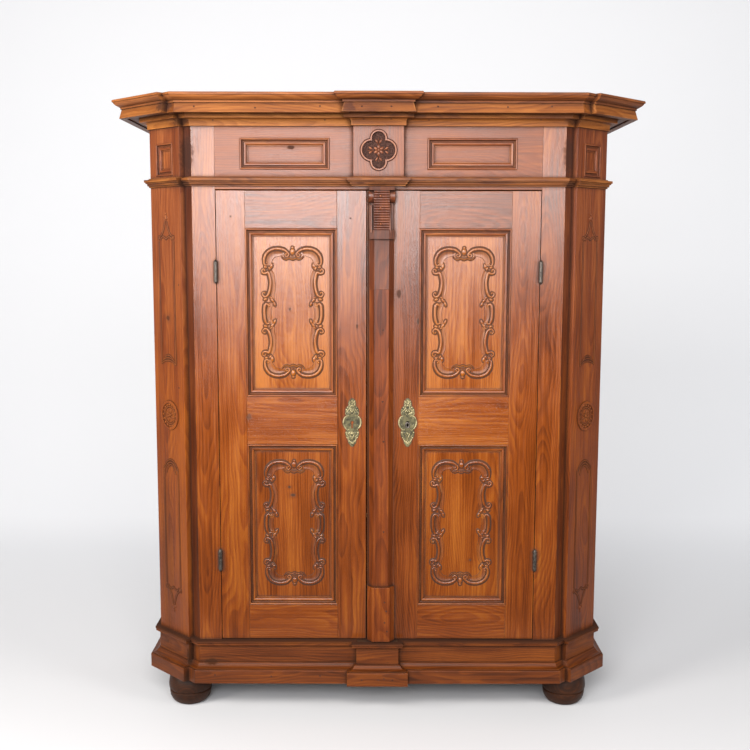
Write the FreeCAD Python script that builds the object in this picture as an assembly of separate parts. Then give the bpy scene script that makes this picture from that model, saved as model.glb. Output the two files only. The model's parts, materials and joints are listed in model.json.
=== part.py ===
# A two-door cabinet with canted, carved corners, as a joiner would build it.
# It stands on four turned feet and comes apart into base, body, doors and cornice.
# x runs to the right, y to the back and z up, in millimetres. Everything is drawn with
# the front of the stiles at y = 0 and the floor at z = 0, and moved to the frame when saved.
import FreeCAD
import Part
import math
import os

V = FreeCAD.Vector

# Body plan: half widths from the centre line, depths from the front of the stiles
opening_half_width = 488.0
stile_width = 69.0
notch_run = 24.0
pilaster_thickness = 18.0
cant_run = 110.272
body_depth = 520.0

# Plan of the doors: they meet a little to the left of the centre line
hinge_stile_width = 86.0
lock_stile_half_width = 124.0
meeting_offset = 36.0
right_key_inset = 33.0
left_key_inset = 45.0

# Heights of the layers, from the floor up
foot_height = 104.0
band_height = 43.0
cove_height = 17.0
fascia_height = 50.0
floor_thickness = 22.0
bottom_rail_height = 111.0
door_panel_height = 508.0
middle_rail_height = 149.0
top_rail_height = 112.0
door_gap = 3.0
lip_height = 10.0
architrave_height = 27.0
frieze_height = 148.0
bed_height = 34.0
corona_height = 28.0
corona_drop = 4.0
crown_height = 27.0

# Board thicknesses and general fits
board = 24.0
stile_thickness = 36.0
stop_overlap = 10.0
stop_gap = 0.5
top_board_thickness = 24.0
soffit_thickness = 24.0
dust_board_thickness = 12.0
back_thickness = 18.0
edge_gap = 2.0
overrun = 5.0
shell_gap = 0.5

# Mouldings: how far each stands out from the body, and the centre break-out
band_projection = 32.0
cove_projection = 27.0
fascia_projection = 3.0
base_bead_projection = 17.0
architrave_projection = 19.0
bed_projection = 28.0
corona_projection = 84.0
corona_board = 22.0
corona_lean = 8.0
crown_projection = 103.5
crown_depth = 50.0
break_depth = 22.0
frieze_break_half = 75.0
base_break_half = 63.0
cornice_break_half = 24.0

# Levels worked out from the heights
band_top = foot_height + band_height
cove_top = band_top + cove_height
frame_top = cove_top + fascia_height
floor_top = frame_top + floor_thickness
door_bottom = floor_top + door_gap
lower_panel_bottom = door_bottom + bottom_rail_height
lower_panel_top = lower_panel_bottom + door_panel_height
upper_panel_bottom = lower_panel_top + middle_rail_height
upper_panel_top = upper_panel_bottom + door_panel_height
door_top = upper_panel_top + top_rail_height
opening_top = door_top + door_gap
architrave_bottom = opening_top + lip_height
frieze_bottom = architrave_bottom + architrave_height
frieze_top = frieze_bottom + frieze_height
soffit_level = frieze_top + bed_height
body_top = soffit_level - top_board_thickness
corona_bottom = soffit_level - corona_drop
corona_top = corona_bottom + corona_height
overall_height = corona_top + crown_height
overall_depth = body_depth + crown_projection + break_depth
front_plane = crown_projection + break_depth - overall_depth / 2

# Plan of the canted corner: outer arris of the stile, foot of the notch, both edges of the pilaster
half_turn_share = math.tan(math.radians(22.5))
diagonal_share = math.sqrt(0.5)
arris = V(opening_half_width + stile_width, 0, 0)
notch = arris + V(notch_run, notch_run, 0)
pilaster_inner = notch + V(pilaster_thickness, -pilaster_thickness, 0) * diagonal_share
pilaster_outer = pilaster_inner + V(cant_run, cant_run, 0)
body_half_width = pilaster_outer.x
corner_outer = V(body_half_width, body_half_width - arris.x, 0)
cant_along = V(diagonal_share, diagonal_share, 0)
cant_normal = V(diagonal_share, -diagonal_share, 0)
cant_width = cant_run / diagonal_share

# Edges of the doors' boards, and where the key plates and the slide bolts sit on them
door_hinge_edge = opening_half_width - edge_gap
panel_edge_outer = door_hinge_edge - hinge_stile_width
panel_edge_inner = lock_stile_half_width
left_door_free_edge = -meeting_offset
right_door_free_edge = left_door_free_edge + door_gap
right_key_x = panel_edge_inner - right_key_inset
left_key_x = left_key_inset - panel_edge_inner
bolt_x = (left_door_free_edge - panel_edge_inner) / 2

UP = V(0, 0, 1)
OUT = V(0, -1, 0)


# Shapes that everything below is made with
def box(x0, x1, y0, y1, z0, z1):
    return Part.makeBox(x1 - x0, y1 - y0, z1 - z0, V(x0, y0, z0))


def prism(points, z0, z1):
    corners = [V(p[0], p[1], z0) for p in points]
    face = Part.Face(Part.makePolygon(corners + corners[:1]))
    return face.extrude(V(0, 0, z1 - z0))


def rod(radius, start, end):
    axis = end - start
    return Part.makeCylinder(radius, axis.Length, start, axis)


def mirrored(shape):
    return shape.mirror(V(0, 0, 0), V(1, 0, 0))


def both_sides(shapes):
    return list(shapes) + [mirrored(s) for s in shapes]


def joined(first, *rest):
    return first.multiFuse(list(rest)).removeSplitter()


def cut(shape, *tools):
    for tool in tools:
        shape = shape.cut(tool)
    return shape


def section(profile, origin, along, up):
    """Edges of a moulding profile at one mitre: two points make a line, more a curve."""
    edges = []
    for stretch in profile:
        poles = [origin + along * a + up * b for a, b in stretch]
        if len(poles) == 2:
            edges.append(Part.makeLine(poles[0], poles[1]))
        else:
            curve = Part.BezierCurve()
            curve.setPoles(poles)
            edges.append(curve.toShape())
    return edges


def mitred_length(start, end):
    """Solid between two mitres, edge to edge, so that no profile point can slip round."""
    faces = [Part.Face(Part.Wire(start)), Part.Face(Part.Wire(end))]
    for near, far in zip(start, end):
        if isinstance(near.Curve, Part.Line):
            corners = [near.valueAt(near.FirstParameter), near.valueAt(near.LastParameter),
                       far.valueAt(far.LastParameter), far.valueAt(far.FirstParameter)]
            faces.append(Part.Face(Part.makePolygon(corners + corners[:1])))
        else:
            faces.append(Part.makeRuledSurface(near, far))
    shell = Part.Shell(faces)
    shell.sewShape()
    solid = Part.Solid(shell)
    if solid.Volume < 0:
        solid.reverse()
    return solid


def moulding(profile, stations, up=UP):
    """Straight lengths of one profile, each mitred from one station to the next."""
    ends = [section(profile, place, along, up) for place, along in stations]
    return [mitred_length(start, end) for start, end in zip(ends, ends[1:])]


def flat_profile(inner, outer, low, high):
    return [[(inner, low), (outer, low)], [(outer, low), (outer, high)],
            [(outer, high), (inner, high)], [(inner, high), (inner, low)]]


def corner_stations():
    """Right side from the back to the stile's arris: where each mitre starts, and its run."""
    into_cant = V(half_turn_share, -1, 0)
    return [(V(body_half_width, body_depth, 0), V(1, 0, 0)),
            (pilaster_outer, V(1, -half_turn_share, 0)),
            (pilaster_inner, into_cant),
            (notch, into_cant),
            (arris, into_cant)]


def ring_stations(break_half):
    """All mitres of a moulding round both sides and the front, with its centre break-out."""
    right = corner_stations()
    right.append((V(break_half, 0, 0), V(1, -1, 0)))
    right.append((V(break_half, -break_depth, 0), V(1, -1, 0)))
    left = [(V(-p.x, p.y, 0), V(-d.x, d.y, 0)) for p, d in reversed(right)]
    return right + left


def outline(offset, break_half):
    """Plan of the whole body, offset outwards."""
    return [p + d * offset for p, d in ring_stations(break_half)]


nodes = {}


def save(name, shapes):
    shapes = shapes if isinstance(shapes, list) else [shapes]
    shape = shapes[0] if len(shapes) == 1 else Part.makeCompound(shapes)
    shape = shape.copy()
    shape.translate(V(0, front_plane, 0))
    nodes[name] = shape


# Turned bun feet, each with a round tenon into its corner block
foot_radius = 72.0
foot_pad_radius = 36.0
foot_neck_radius = 44.0
foot_groove_level = 43.0
foot_groove_depth = 3.0
foot_groove_width = 6.0
foot_tenon_radius = 15.0
foot_tenon_length = 30.0
foot_side_inset = 99.0
foot_front_inset = 90.0
foot_back_inset = 80.0
belly_share = 0.93


def foot(x, y):
    groove_high = foot_groove_level + foot_groove_width / 2
    groove_low = foot_groove_level - foot_groove_width / 2
    belly = foot_radius * belly_share
    curves = [
        [(0, 0), (foot_pad_radius, 0)],
        [(foot_pad_radius, 0), (belly, 0), (belly, groove_low), (belly, groove_low)],
        [(belly, groove_low), (belly - foot_groove_depth, foot_groove_level)],
        [(belly - foot_groove_depth, foot_groove_level), (belly, groove_high)],
        [(belly, groove_high), (foot_radius, groove_high), (foot_radius, foot_height),
         (foot_neck_radius, foot_height)],
        [(foot_neck_radius, foot_height), (foot_tenon_radius, foot_height)],
        [(foot_tenon_radius, foot_height), (foot_tenon_radius, foot_height + foot_tenon_length)],
        [(foot_tenon_radius, foot_height + foot_tenon_length), (0, foot_height + foot_tenon_length)],
        [(0, foot_height + foot_tenon_length), (0, 0)]]
    half = Part.Face(Part.Wire(section(curves, V(x, y, 0), V(1, 0, 0), UP)))
    return half.revolve(V(x, y, 0), UP, 360)


foot_x = body_half_width - foot_side_inset
foot_rows = [foot_front_inset, body_depth - foot_back_inset]
save("bun_feet", both_sides([foot(foot_x, y) for y in foot_rows]))

# Base: a mitred frame of boards, corner blocks over the feet, and three mouldings
frame_board = 22.0
block_height = 50.0
block_half = 60.0
frame_inner = fascia_projection - frame_board
back_board_front = body_depth - frame_board
base_ring = moulding(flat_profile(frame_inner, fascia_projection, foot_height, frame_top),
                     ring_stations(base_break_half))
base_back = box(-body_half_width - frame_inner, body_half_width + frame_inner,
                back_board_front, body_depth, foot_height, frame_top)


def corner_block(x, y):
    """Block glued into a corner of the base frame, bored for a foot's tenon."""
    block_top = foot_height + block_height
    inside = prism(outline(frame_inner, base_break_half), foot_height, block_top)
    block = box(x - block_half, body_half_width, y - block_half, min(y + block_half, back_board_front),
                foot_height, block_top)
    bore = rod(foot_tenon_radius, V(x, y, foot_height - overrun), V(x, y, foot_height + foot_tenon_length))
    return block.common(inside).cut(bore)


blocks = both_sides([corner_block(foot_x, y) for y in foot_rows])
save("base_frame", base_ring + [base_back] + blocks)

band_bevel = 2.0
band_profile = [
    [(fascia_projection, foot_height), (band_projection, foot_height)],
    [(band_projection, foot_height), (band_projection, band_top - band_bevel)],
    [(band_projection, band_top - band_bevel), (band_projection - band_bevel, band_top)],
    [(band_projection - band_bevel, band_top), (fascia_projection, band_top)],
    [(fascia_projection, band_top), (fascia_projection, foot_height)]]
save("plinth_band", moulding(band_profile, ring_stations(base_break_half)))

cove_fillet = 3.0
cove_nose = 5.0
cove_profile = [
    [(fascia_projection, band_top), (cove_projection, band_top)],
    [(cove_projection, band_top), (cove_projection, band_top + cove_fillet)],
    [(cove_projection, band_top + cove_fillet), (fascia_projection + cove_nose, band_top + cove_fillet),
     (fascia_projection + cove_nose + cove_nose, cove_top), (fascia_projection, cove_top)],
    [(fascia_projection, cove_top), (fascia_projection, band_top)]]
save("plinth_cove", moulding(cove_profile, ring_stations(base_break_half)))

bead_height = 7.0
quirk_depth = 4.0
quirk_height = 2.0
lower_bead_projection = 15.0
bead_corner = 2.0
quirk_bottom = base_bead_projection - quirk_depth
upper_bead_low = floor_top - bead_height
lower_bead_high = upper_bead_low - quirk_height
lower_bead_low = lower_bead_high - bead_height
base_top_profile = [
    [(0, frame_top), (fascia_projection, frame_top)],
    [(fascia_projection, frame_top), (fascia_projection, lower_bead_low),
     (lower_bead_projection, lower_bead_low), (lower_bead_projection, lower_bead_low + bead_corner)],
    [(lower_bead_projection, lower_bead_low + bead_corner), (lower_bead_projection, lower_bead_high)],
    [(lower_bead_projection, lower_bead_high), (quirk_bottom, lower_bead_high)],
    [(quirk_bottom, lower_bead_high), (quirk_bottom, upper_bead_low)],
    [(quirk_bottom, upper_bead_low), (base_bead_projection, upper_bead_low)],
    [(base_bead_projection, upper_bead_low), (base_bead_projection, floor_top - bead_corner)],
    [(base_bead_projection, floor_top - bead_corner), (base_bead_projection - bead_corner, floor_top)],
    [(base_bead_projection - bead_corner, floor_top), (0, floor_top)],
    [(0, floor_top), (0, frame_top)]]
save("base_top_moulding", moulding(base_top_profile, ring_stations(base_break_half)))

# Slide bolts of the left door: their sizes are needed for the holes that they shoot into
bolt_width = 14.0
bolt_thickness = 6.0
bolt_plate_thickness = 2.0
bolt_fit = 0.5
bolt_slack = 0.25
bolt_throw = 22.0
bolt_front = board + bolt_plate_thickness + bolt_slack
bolt_back = bolt_front + bolt_thickness
bolt_rest_gap = 5.0
bolt_hole_depth = bolt_throw - bolt_rest_gap - door_gap + edge_gap

# Floor board, with the hole for the lower bolt
bolt_hole = box(bolt_x - bolt_width / 2 - bolt_fit, bolt_x + bolt_width / 2 + bolt_fit,
                bolt_front - bolt_fit, bolt_back + bolt_fit, floor_top - bolt_hole_depth, floor_top + overrun)
save("floor_board", cut(prism(outline(0, base_break_half), frame_top, floor_top), bolt_hole))

# Front stiles: thicker than the doors, with a rebate that the doors close against
mitre_back = arris + V(-half_turn_share, 1, 0) * board
hinge_leaf_thickness = 1.5
hinge_leaf_height = 26.0
hinge_leaf_reach = 20.0
hinge_middle_gap = 2.0
hinge_radius = 6.0
hinge_half_height = 30.0
hinge_finial = 7.0
hinge_stand = 7.0
hinge_pin_radius = 3.0
hinge_fit = 0.06
hinge_pin_length = 28.0
hinge_rise = 0.3
lower_hinge_height = 255.0
upper_hinge_drop = 241.0
hinge_levels = [door_bottom + lower_hinge_height, door_top - upper_hinge_drop]


def leaf_mortise(x, low):
    return box(x, x + hinge_leaf_thickness, -overrun, hinge_leaf_reach, low, low + hinge_leaf_height)


def frame_leaf_low(level):
    return level - hinge_middle_gap - hinge_leaf_height


def door_leaf_low(level):
    return level + hinge_middle_gap


stile_back_inner = opening_half_width - stop_overlap
rebate_shoulder = board + stop_gap
stile_plan = [(opening_half_width, 0), (arris.x, 0), (mitre_back.x, board),
              (mitre_back.x, stile_thickness), (stile_back_inner, stile_thickness),
              (stile_back_inner, rebate_shoulder), (opening_half_width, rebate_shoulder)]
frame_mortises = [leaf_mortise(opening_half_width, frame_leaf_low(z)) for z in hinge_levels]
front_stile = cut(prism(stile_plan, floor_top, body_top), *frame_mortises)
save("front_stile_right", front_stile)
save("front_stile_left", mirrored(front_stile))

# Canted corners: a structural board, and the carved pilaster planted on it
corner_back = V(body_half_width - board, corner_outer.y + board * half_turn_share, 0)
corner_board = prism([arris, corner_outer, corner_back, mitre_back], floor_top, body_top)
save("corner_board_right", corner_board)
save("corner_board_left", mirrored(corner_board))

# Panel mouldings: a bead on the outside, then an ogee that falls to the panel
panel_moulding_width = 23.0
panel_depth = 10.0
panel_thickness = 8.0
panel_tongue = 8.0
bead_radius = 2.5
bead_arc_share = 4.0 / 3.0
ogee_start = -1.5
ogee_end = -7.0
inner_fillet = 3.0


def panel_profile(depth):
    bead_width = 2 * bead_radius
    ogee_width = panel_moulding_width - inner_fillet
    ogee_middle = (bead_width + ogee_width) / 2
    crest = bead_radius * bead_arc_share
    return [
        [(0, -depth), (0, 0)],
        [(0, 0), (0, crest), (bead_width, crest), (bead_width, 0)],
        [(bead_width, 0), (bead_width, ogee_start)],
        [(bead_width, ogee_start), (bead_width, ogee_end),
         (ogee_middle, ogee_end), (ogee_middle, ogee_start)],
        [(ogee_middle, ogee_start), (ogee_width, ogee_start), (ogee_width, ogee_end)],
        [(ogee_width, ogee_end), (panel_moulding_width, ogee_end)],
        [(panel_moulding_width, ogee_end), (panel_moulding_width, -depth)],
        [(panel_moulding_width, -depth), (0, -depth)]]


def panel_moulding(origin, across, width, height, depth, out):
    """Four mitred lengths round a panel; origin is the lower corner, across points along it."""
    corners = [(0, 0, 1, 1), (width, 0, -1, 1), (width, height, -1, -1), (0, height, 1, -1), (0, 0, 1, 1)]
    stations = [(origin + across * a + UP * b, across * da + UP * db) for a, b, da, db in corners]
    return moulding(panel_profile(depth), stations, out)


# Corner pilaster with its small sunk frieze panel and a turned rosette
corner_panel_width = 86.0
corner_panel_height = 98.0
corner_panel_rise = 5.0
rosette_radius = 46.0
rosette_ring = 8.0
rosette_level = 938.0
rosette_relief = 3.0
corner_panel_depth = 9.0
corner_panel_start = (cant_width - corner_panel_width) / 2
corner_panel_low = pilaster_inner + cant_along * corner_panel_start + UP * (frieze_bottom + corner_panel_rise)
rosette_centre = pilaster_inner + cant_along * (cant_width / 2) + UP * rosette_level
pilaster = prism([pilaster_inner, pilaster_outer, corner_outer, notch], floor_top, body_top)
panel_low_back = corner_panel_low - cant_normal * corner_panel_depth
panel_pocket_face = Part.Face(Part.makePolygon([
    panel_low_back, panel_low_back + cant_along * corner_panel_width,
    panel_low_back + cant_along * corner_panel_width + UP * corner_panel_height,
    panel_low_back + UP * corner_panel_height, panel_low_back]))
panel_pocket = panel_pocket_face.extrude(cant_normal * (corner_panel_depth + overrun))
pilaster = cut(pilaster, panel_pocket)
rosette = rod(rosette_radius, rosette_centre, rosette_centre + cant_normal * rosette_relief)
rosette_well = rod(rosette_radius - rosette_ring, rosette_centre,
                   rosette_centre + cant_normal * (rosette_relief + overrun))
pilaster = joined(pilaster, cut(rosette, rosette_well))
corner_panel = panel_moulding(corner_panel_low, cant_along, corner_panel_width, corner_panel_height,
                              corner_panel_depth, cant_normal)
save("corner_pilaster_right", [pilaster] + corner_panel)
save("corner_pilaster_left", [mirrored(pilaster)] + [mirrored(s) for s in corner_panel])

# Door frames: everything here repeats for both doors
tenon_length = 40.0
tenon_thickness = 8.0
tenon_shoulder = 12.0
groove_front = panel_depth
groove_back = panel_depth + panel_thickness
panel_levels = {"lower": (lower_panel_bottom, lower_panel_top),
                "upper": (upper_panel_bottom, upper_panel_top)}
rail_levels = {"bottom": (door_bottom, lower_panel_bottom),
               "middle": (lower_panel_top, upper_panel_bottom),
               "top": (upper_panel_top, door_top)}

# The lock on the right door, its key hole, and the key plates
key_plate_drop = 5.5
key_plate_level = (lower_panel_top + upper_panel_bottom) / 2 - key_plate_drop
key_hole_radius = 5.0
key_slot_width = 5.0
key_slot_length = 18.0


def key_hole(x, y0, y1):
    barrel = rod(key_hole_radius, V(x, y0, key_plate_level), V(x, y1, key_plate_level))
    slot = box(x - key_slot_width / 2, x + key_slot_width / 2, y0, y1,
               key_plate_level - key_slot_length, key_plate_level)
    return joined(barrel, slot)


def tenon(x, low, high):
    return box(x - tenon_length, x + tenon_length, (board - tenon_thickness) / 2,
               (board + tenon_thickness) / 2, low + tenon_shoulder, high - tenon_shoulder)


def build_door(side, sign, free_edge, key_x=None):
    """One framed door: hinge stile, lock stile, three rails, two panels and their mouldings."""
    outer = sign * panel_edge_outer
    inner = sign * panel_edge_inner
    hinge_edge = sign * door_hinge_edge
    left, right = min(outer, inner), max(outer, inner)
    tenons = {name: [tenon(left, low, high), tenon(right, low, high)]
              for name, (low, high) in rail_levels.items()}
    groove_reach = panel_tongue + shell_gap
    grooves = [box(left - groove_reach, right + groove_reach, groove_front, groove_back,
                   low - groove_reach, high + groove_reach) for low, high in panel_levels.values()]
    mortises = [t for pair in tenons.values() for t in pair]
    leaf_side = hinge_edge - (hinge_leaf_thickness if sign > 0 else 0)
    leaf_cuts = [leaf_mortise(leaf_side, door_leaf_low(z)) for z in hinge_levels]
    hinge_stile = box(min(hinge_edge, outer), max(hinge_edge, outer), 0, board, door_bottom, door_top)
    lock_stile = box(min(free_edge, inner), max(free_edge, inner), 0, board, door_bottom, door_top)
    key_cuts = [key_hole(key_x, -overrun, board + overrun)] if key_x else []
    save(side + "_door_hinge_stile", cut(hinge_stile, *mortises, *grooves, *leaf_cuts))
    save(side + "_door_lock_stile", cut(lock_stile, *mortises, *grooves, *key_cuts))
    for name, (low, high) in rail_levels.items():
        rail = joined(box(left, right, 0, board, low, high), *tenons[name])
        save(side + "_door_" + name + "_rail", cut(rail, *grooves, *key_cuts))
    mouldings = []
    for name, (low, high) in panel_levels.items():
        save(side + "_door_" + name + "_panel",
             box(left - panel_tongue, right + panel_tongue, groove_front, groove_back,
                 low - panel_tongue, high + panel_tongue))
        mouldings += panel_moulding(V(left, 0, low), V(1, 0, 0), right - left, high - low, panel_depth, OUT)
    save(side + "_door_panel_mouldings", mouldings)


build_door("left", -1, left_door_free_edge)
build_door("right", 1, right_door_free_edge, right_key_x)


# Barrel hinges: the lower half carries the pin on the frame, the upper half turns with the door
def hinge_axis(sign):
    return V(sign * opening_half_width, -hinge_stand, 0)


def olive(base, tip):
    """Pointed finial of a barrel."""
    neck_share = 0.55
    axis = tip - base
    body = Part.makeCone(hinge_radius, hinge_radius * neck_share, axis.Length * neck_share, base, axis)
    point = Part.makeCone(hinge_radius * neck_share, 0, axis.Length * (1 - neck_share),
                          base + axis * neck_share, axis)
    return joined(body, point)


def frame_hinge(sign, level):
    axis = hinge_axis(sign)
    low = axis + UP * (level - hinge_half_height)
    middle = axis + UP * level
    barrel = rod(hinge_radius, low, middle)
    pin = rod(hinge_pin_radius, middle, middle + UP * hinge_pin_length)
    x = sign * opening_half_width - (hinge_leaf_thickness if sign < 0 else 0)
    leaf = box(x, x + hinge_leaf_thickness, -hinge_stand + hinge_pin_radius, hinge_leaf_reach,
               frame_leaf_low(level), frame_leaf_low(level) + hinge_leaf_height)
    return joined(barrel, olive(low, low - UP * hinge_finial), pin, leaf)


def door_hinge(sign, level):
    axis = hinge_axis(sign)
    low = axis + UP * (level + hinge_rise)
    high = axis + UP * (level + hinge_half_height)
    barrel = rod(hinge_radius, low, high)
    bore_top = axis + UP * (level + hinge_pin_length + hinge_rise)
    bore = rod(hinge_pin_radius + hinge_fit, low - UP * overrun, bore_top)
    edge = sign * door_hinge_edge
    x = edge - (hinge_leaf_thickness if sign > 0 else 0)
    leaf = box(x, x + hinge_leaf_thickness, -hinge_stand + hinge_pin_radius, hinge_leaf_reach,
               door_leaf_low(level), door_leaf_low(level) + hinge_leaf_height)
    return cut(joined(barrel, olive(high, high + UP * hinge_finial), leaf), bore)


save("hinge_frame_halves", [frame_hinge(sign, z) for sign in (1, -1) for z in hinge_levels])
save("right_door_hinge_halves", [door_hinge(1, z) for z in hinge_levels])
save("left_door_hinge_halves", [door_hinge(-1, z) for z in hinge_levels])

# Key plates: lobed brass plates, one real and one for symmetry
key_plate_thickness = 1.6
key_plate_radius = 28.0
lobe_rise_shares = [0, 1.2, 2.1, 2.43]
lobe_radius_shares = [1, 0.75, 0.43, 0.25]


def key_plate(x):
    centre = V(x, 0, key_plate_level)
    thickness = V(0, -key_plate_thickness, 0)
    lobes = []
    for rise, size in zip(lobe_rise_shares, lobe_radius_shares):
        for way in (1, -1):
            middle = centre + UP * way * rise * key_plate_radius
            lobes.append(rod(size * key_plate_radius, middle, middle + thickness))
    plate = joined(lobes[0], *lobes[2:])
    return cut(plate, key_hole(x, -key_plate_thickness - overrun, overrun))


save("right_key_plate", key_plate(right_key_x))
save("left_key_plate", key_plate(left_key_x))

# Pilaster on the right door, over the meeting line: base block, shaft, ribbed console
pilaster_offset = 10.0
shaft_half = 37.5
shaft_face_half = 22.0
shaft_relief = 20.0
base_block_half = 42.0
base_block_face_half = 27.0
base_block_step = 4.0
base_block_relief = 30.0
base_block_height = 174.0
console_shank_height = 150.0
console_foot_height = 26.0
console_scroll_height = 127.0
base_block_top = door_bottom + base_block_height
console_top = architrave_bottom - door_gap
console_neck_low = console_top - console_scroll_height
console_foot = console_neck_low - console_foot_height
console_bottom = console_foot - console_shank_height
abacus_height = 10.0
console_half = 39.0
console_neck_half = 33.0
rib_half = 23.0
rib_count = 16
rib_relief = 2.4
scroll_relief = 40.0
abacus_relief = 45.0
neck_relief = 27.0
cheek_relief = 21.0
volute_radius = 20.0
moulding_relief = 30.0
console_bite = 3.0
console_gap = 0.5


def centred(points):
    return [(pilaster_offset + x, y) for x, y in points]


shaft_plan = centred([(-shaft_half, 0), (-shaft_face_half, -shaft_relief), (shaft_face_half, -shaft_relief),
                      (shaft_half, 0)])
save("pilaster_shaft", prism(shaft_plan, base_block_top, console_bottom))

block_step_x = base_block_half - base_block_step
block_step_y = base_block_relief / 2
base_block_plan = centred([
    (-base_block_half, 0), (-base_block_half, -block_step_y + base_block_step),
    (-block_step_x, -block_step_y),
    (-base_block_face_half, -base_block_relief), (base_block_face_half, -base_block_relief),
    (block_step_x, -block_step_y), (base_block_half, -block_step_y + base_block_step), (base_block_half, 0)])
save("pilaster_base", prism(base_block_plan, door_bottom, base_block_top))


def scroll_front(z):
    """How far the console's face stands out at a height: full at the top, hollow below."""
    share = (z - console_neck_low) / (console_top - abacus_height - console_neck_low)
    swell = math.sin(math.pi / 2 * max(share, 0)) ** 2
    return neck_relief + (scroll_relief - neck_relief) * swell


def console_ribs():
    """Rounded ribs stacked up the console's face."""
    low, high = console_neck_low, console_top - abacus_height
    pitch = (high - low) / rib_count
    x0 = pilaster_offset - rib_half
    edges = [Part.makeLine(V(x0, 0, low), V(x0, -scroll_front(low), low))]
    for i in range(rib_count):
        z0, z1 = low + i * pitch, low + (i + 1) * pitch
        middle = (z0 + z1) / 2
        crest = V(x0, -scroll_front(middle) - rib_relief, middle)
        edges.append(Part.Arc(V(x0, -scroll_front(z0), z0), crest, V(x0, -scroll_front(z1), z1)).toShape())
    edges.append(Part.makeLine(V(x0, -scroll_front(high), high), V(x0, 0, high)))
    edges.append(Part.makeLine(V(x0, 0, high), V(x0, 0, low)))
    return Part.Face(Part.Wire(edges)).extrude(V(2 * rib_half, 0, 0))


def console():
    """Shaft's upper length with the scrolled console over it; it clears the rail above the door."""
    cheek_top = console_top - abacus_height
    body = box(pilaster_offset - console_neck_half, pilaster_offset + console_neck_half, -cheek_relief, 0,
               console_neck_low, cheek_top)
    volute_y = console_bite - volute_radius
    volute_z = cheek_top + volute_y
    volute = rod(volute_radius, V(pilaster_offset - console_half, volute_y, volute_z),
                 V(pilaster_offset + console_half, volute_y, volute_z))
    foot_plan = centred([(-shaft_half, 0), (-shaft_half, -shaft_relief), (-shaft_face_half, -moulding_relief),
                         (shaft_face_half, -moulding_relief), (shaft_half, -shaft_relief), (shaft_half, 0)])
    foot_block = prism(foot_plan, console_foot, console_neck_low)
    abacus = box(pilaster_offset - shaft_half, pilaster_offset + shaft_half, -abacus_relief, 0,
                 cheek_top, console_top)
    shank = prism(shaft_plan, console_bottom, console_foot)
    left, right = pilaster_offset - base_block_half, pilaster_offset + base_block_half
    door_face = box(left, right, 0, overrun, console_neck_low, console_top)
    rail_face = box(left, right, -console_gap, overrun, door_top, console_top + overrun)
    return cut(joined(body, console_ribs(), volute, foot_block, abacus, shank), door_face, rail_face)


save("pilaster_console", console())

# Box lock on the back of the right door, with a drill pin for the key and a sliding bolt
lock_edge_inset = 5.0
lock_width = 138.0
lock_half_height = 50.0
lock_wall = 2.0
lock_depth = 22.0
lock_bolt_half = 8.0
lock_bolt_thickness = 8.0
lock_bolt_fit = 0.3
lock_bolt_length = 96.0
lock_throw = 24.0
stud_radius = 2.5
stud_inset = 68.0
drill_pin_radius = 2.0
drill_pin_front = 2.0
lock_inner_end = right_door_free_edge + lock_edge_inset
lock_outer_end = lock_inner_end + lock_width
stud_x = lock_inner_end + stud_inset
lock_back = board + lock_depth
bolt_mid_y = board + lock_depth / 2
bolt_low_y = bolt_mid_y - lock_bolt_thickness / 2
bolt_high_y = bolt_mid_y + lock_bolt_thickness / 2
bolt_level = key_plate_level + key_hole_radius + 2 * lock_bolt_fit + lock_bolt_half


def lock_case():
    outer = box(lock_inner_end, lock_outer_end, board, lock_back,
                key_plate_level - lock_half_height, key_plate_level + lock_half_height)
    inner_half_height = lock_half_height - lock_wall
    hollow = box(lock_inner_end + lock_wall, lock_outer_end - lock_wall, board - overrun,
                 lock_back - lock_wall, key_plate_level - inner_half_height,
                 key_plate_level + inner_half_height)
    slot_half = lock_bolt_half + lock_bolt_fit
    slot = box(lock_inner_end - overrun, lock_inner_end + lock_wall + overrun, bolt_low_y - lock_bolt_fit,
               bolt_high_y + lock_bolt_fit, bolt_level - slot_half, bolt_level + slot_half)
    stud = rod(stud_radius, V(stud_x, board + lock_wall, bolt_level), V(stud_x, lock_back, bolt_level))
    pin = rod(drill_pin_radius, V(right_key_x, drill_pin_front, key_plate_level),
              V(right_key_x, lock_back, key_plate_level))
    return joined(cut(outer, hollow, slot), stud, pin)


def lock_bolt():
    start = lock_inner_end + lock_wall / 2
    bar = box(start, start + lock_bolt_length, bolt_low_y, bolt_high_y,
              bolt_level - lock_bolt_half, bolt_level + lock_bolt_half)
    slot_half = stud_radius + lock_bolt_fit
    slot = box(stud_x - slot_half, stud_x + slot_half + lock_throw, bolt_low_y - overrun,
               bolt_high_y + overrun, bolt_level - slot_half, bolt_level + slot_half)
    return cut(bar, slot)


save("lock_case", lock_case())
save("lock_bolt", lock_bolt())

# Keeper for the lock bolt, on the back of the left door
keeper_inset = 6.0
keeper_length = 24.0
keeper_half_height = 20.0
keeper_fit = 1.0
keeper_end = left_door_free_edge - keeper_inset
keeper = box(keeper_end - keeper_length, keeper_end, board, lock_back - lock_wall,
             bolt_level - keeper_half_height, bolt_level + keeper_half_height)
keeper_slot = box(keeper_end - keeper_length + lock_wall, keeper_end + overrun, bolt_low_y - keeper_fit,
                  bolt_high_y + keeper_fit, bolt_level - lock_bolt_half - keeper_fit,
                  bolt_level + lock_bolt_half + keeper_fit)
save("lock_keeper", cut(keeper, keeper_slot))

# Slide bolts on the back of the left door, drawn back at rest
bolt_bar_length = 240.0
staple_width = 30.0
staple_height = 12.0
staple_wall = 2.0
plate_length = 180.0
plate_margin = 30.0
rear_staple_share = 0.7
knob_radius = 5.0
knob_length = 14.0
knob_inset = 40.0


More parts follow.
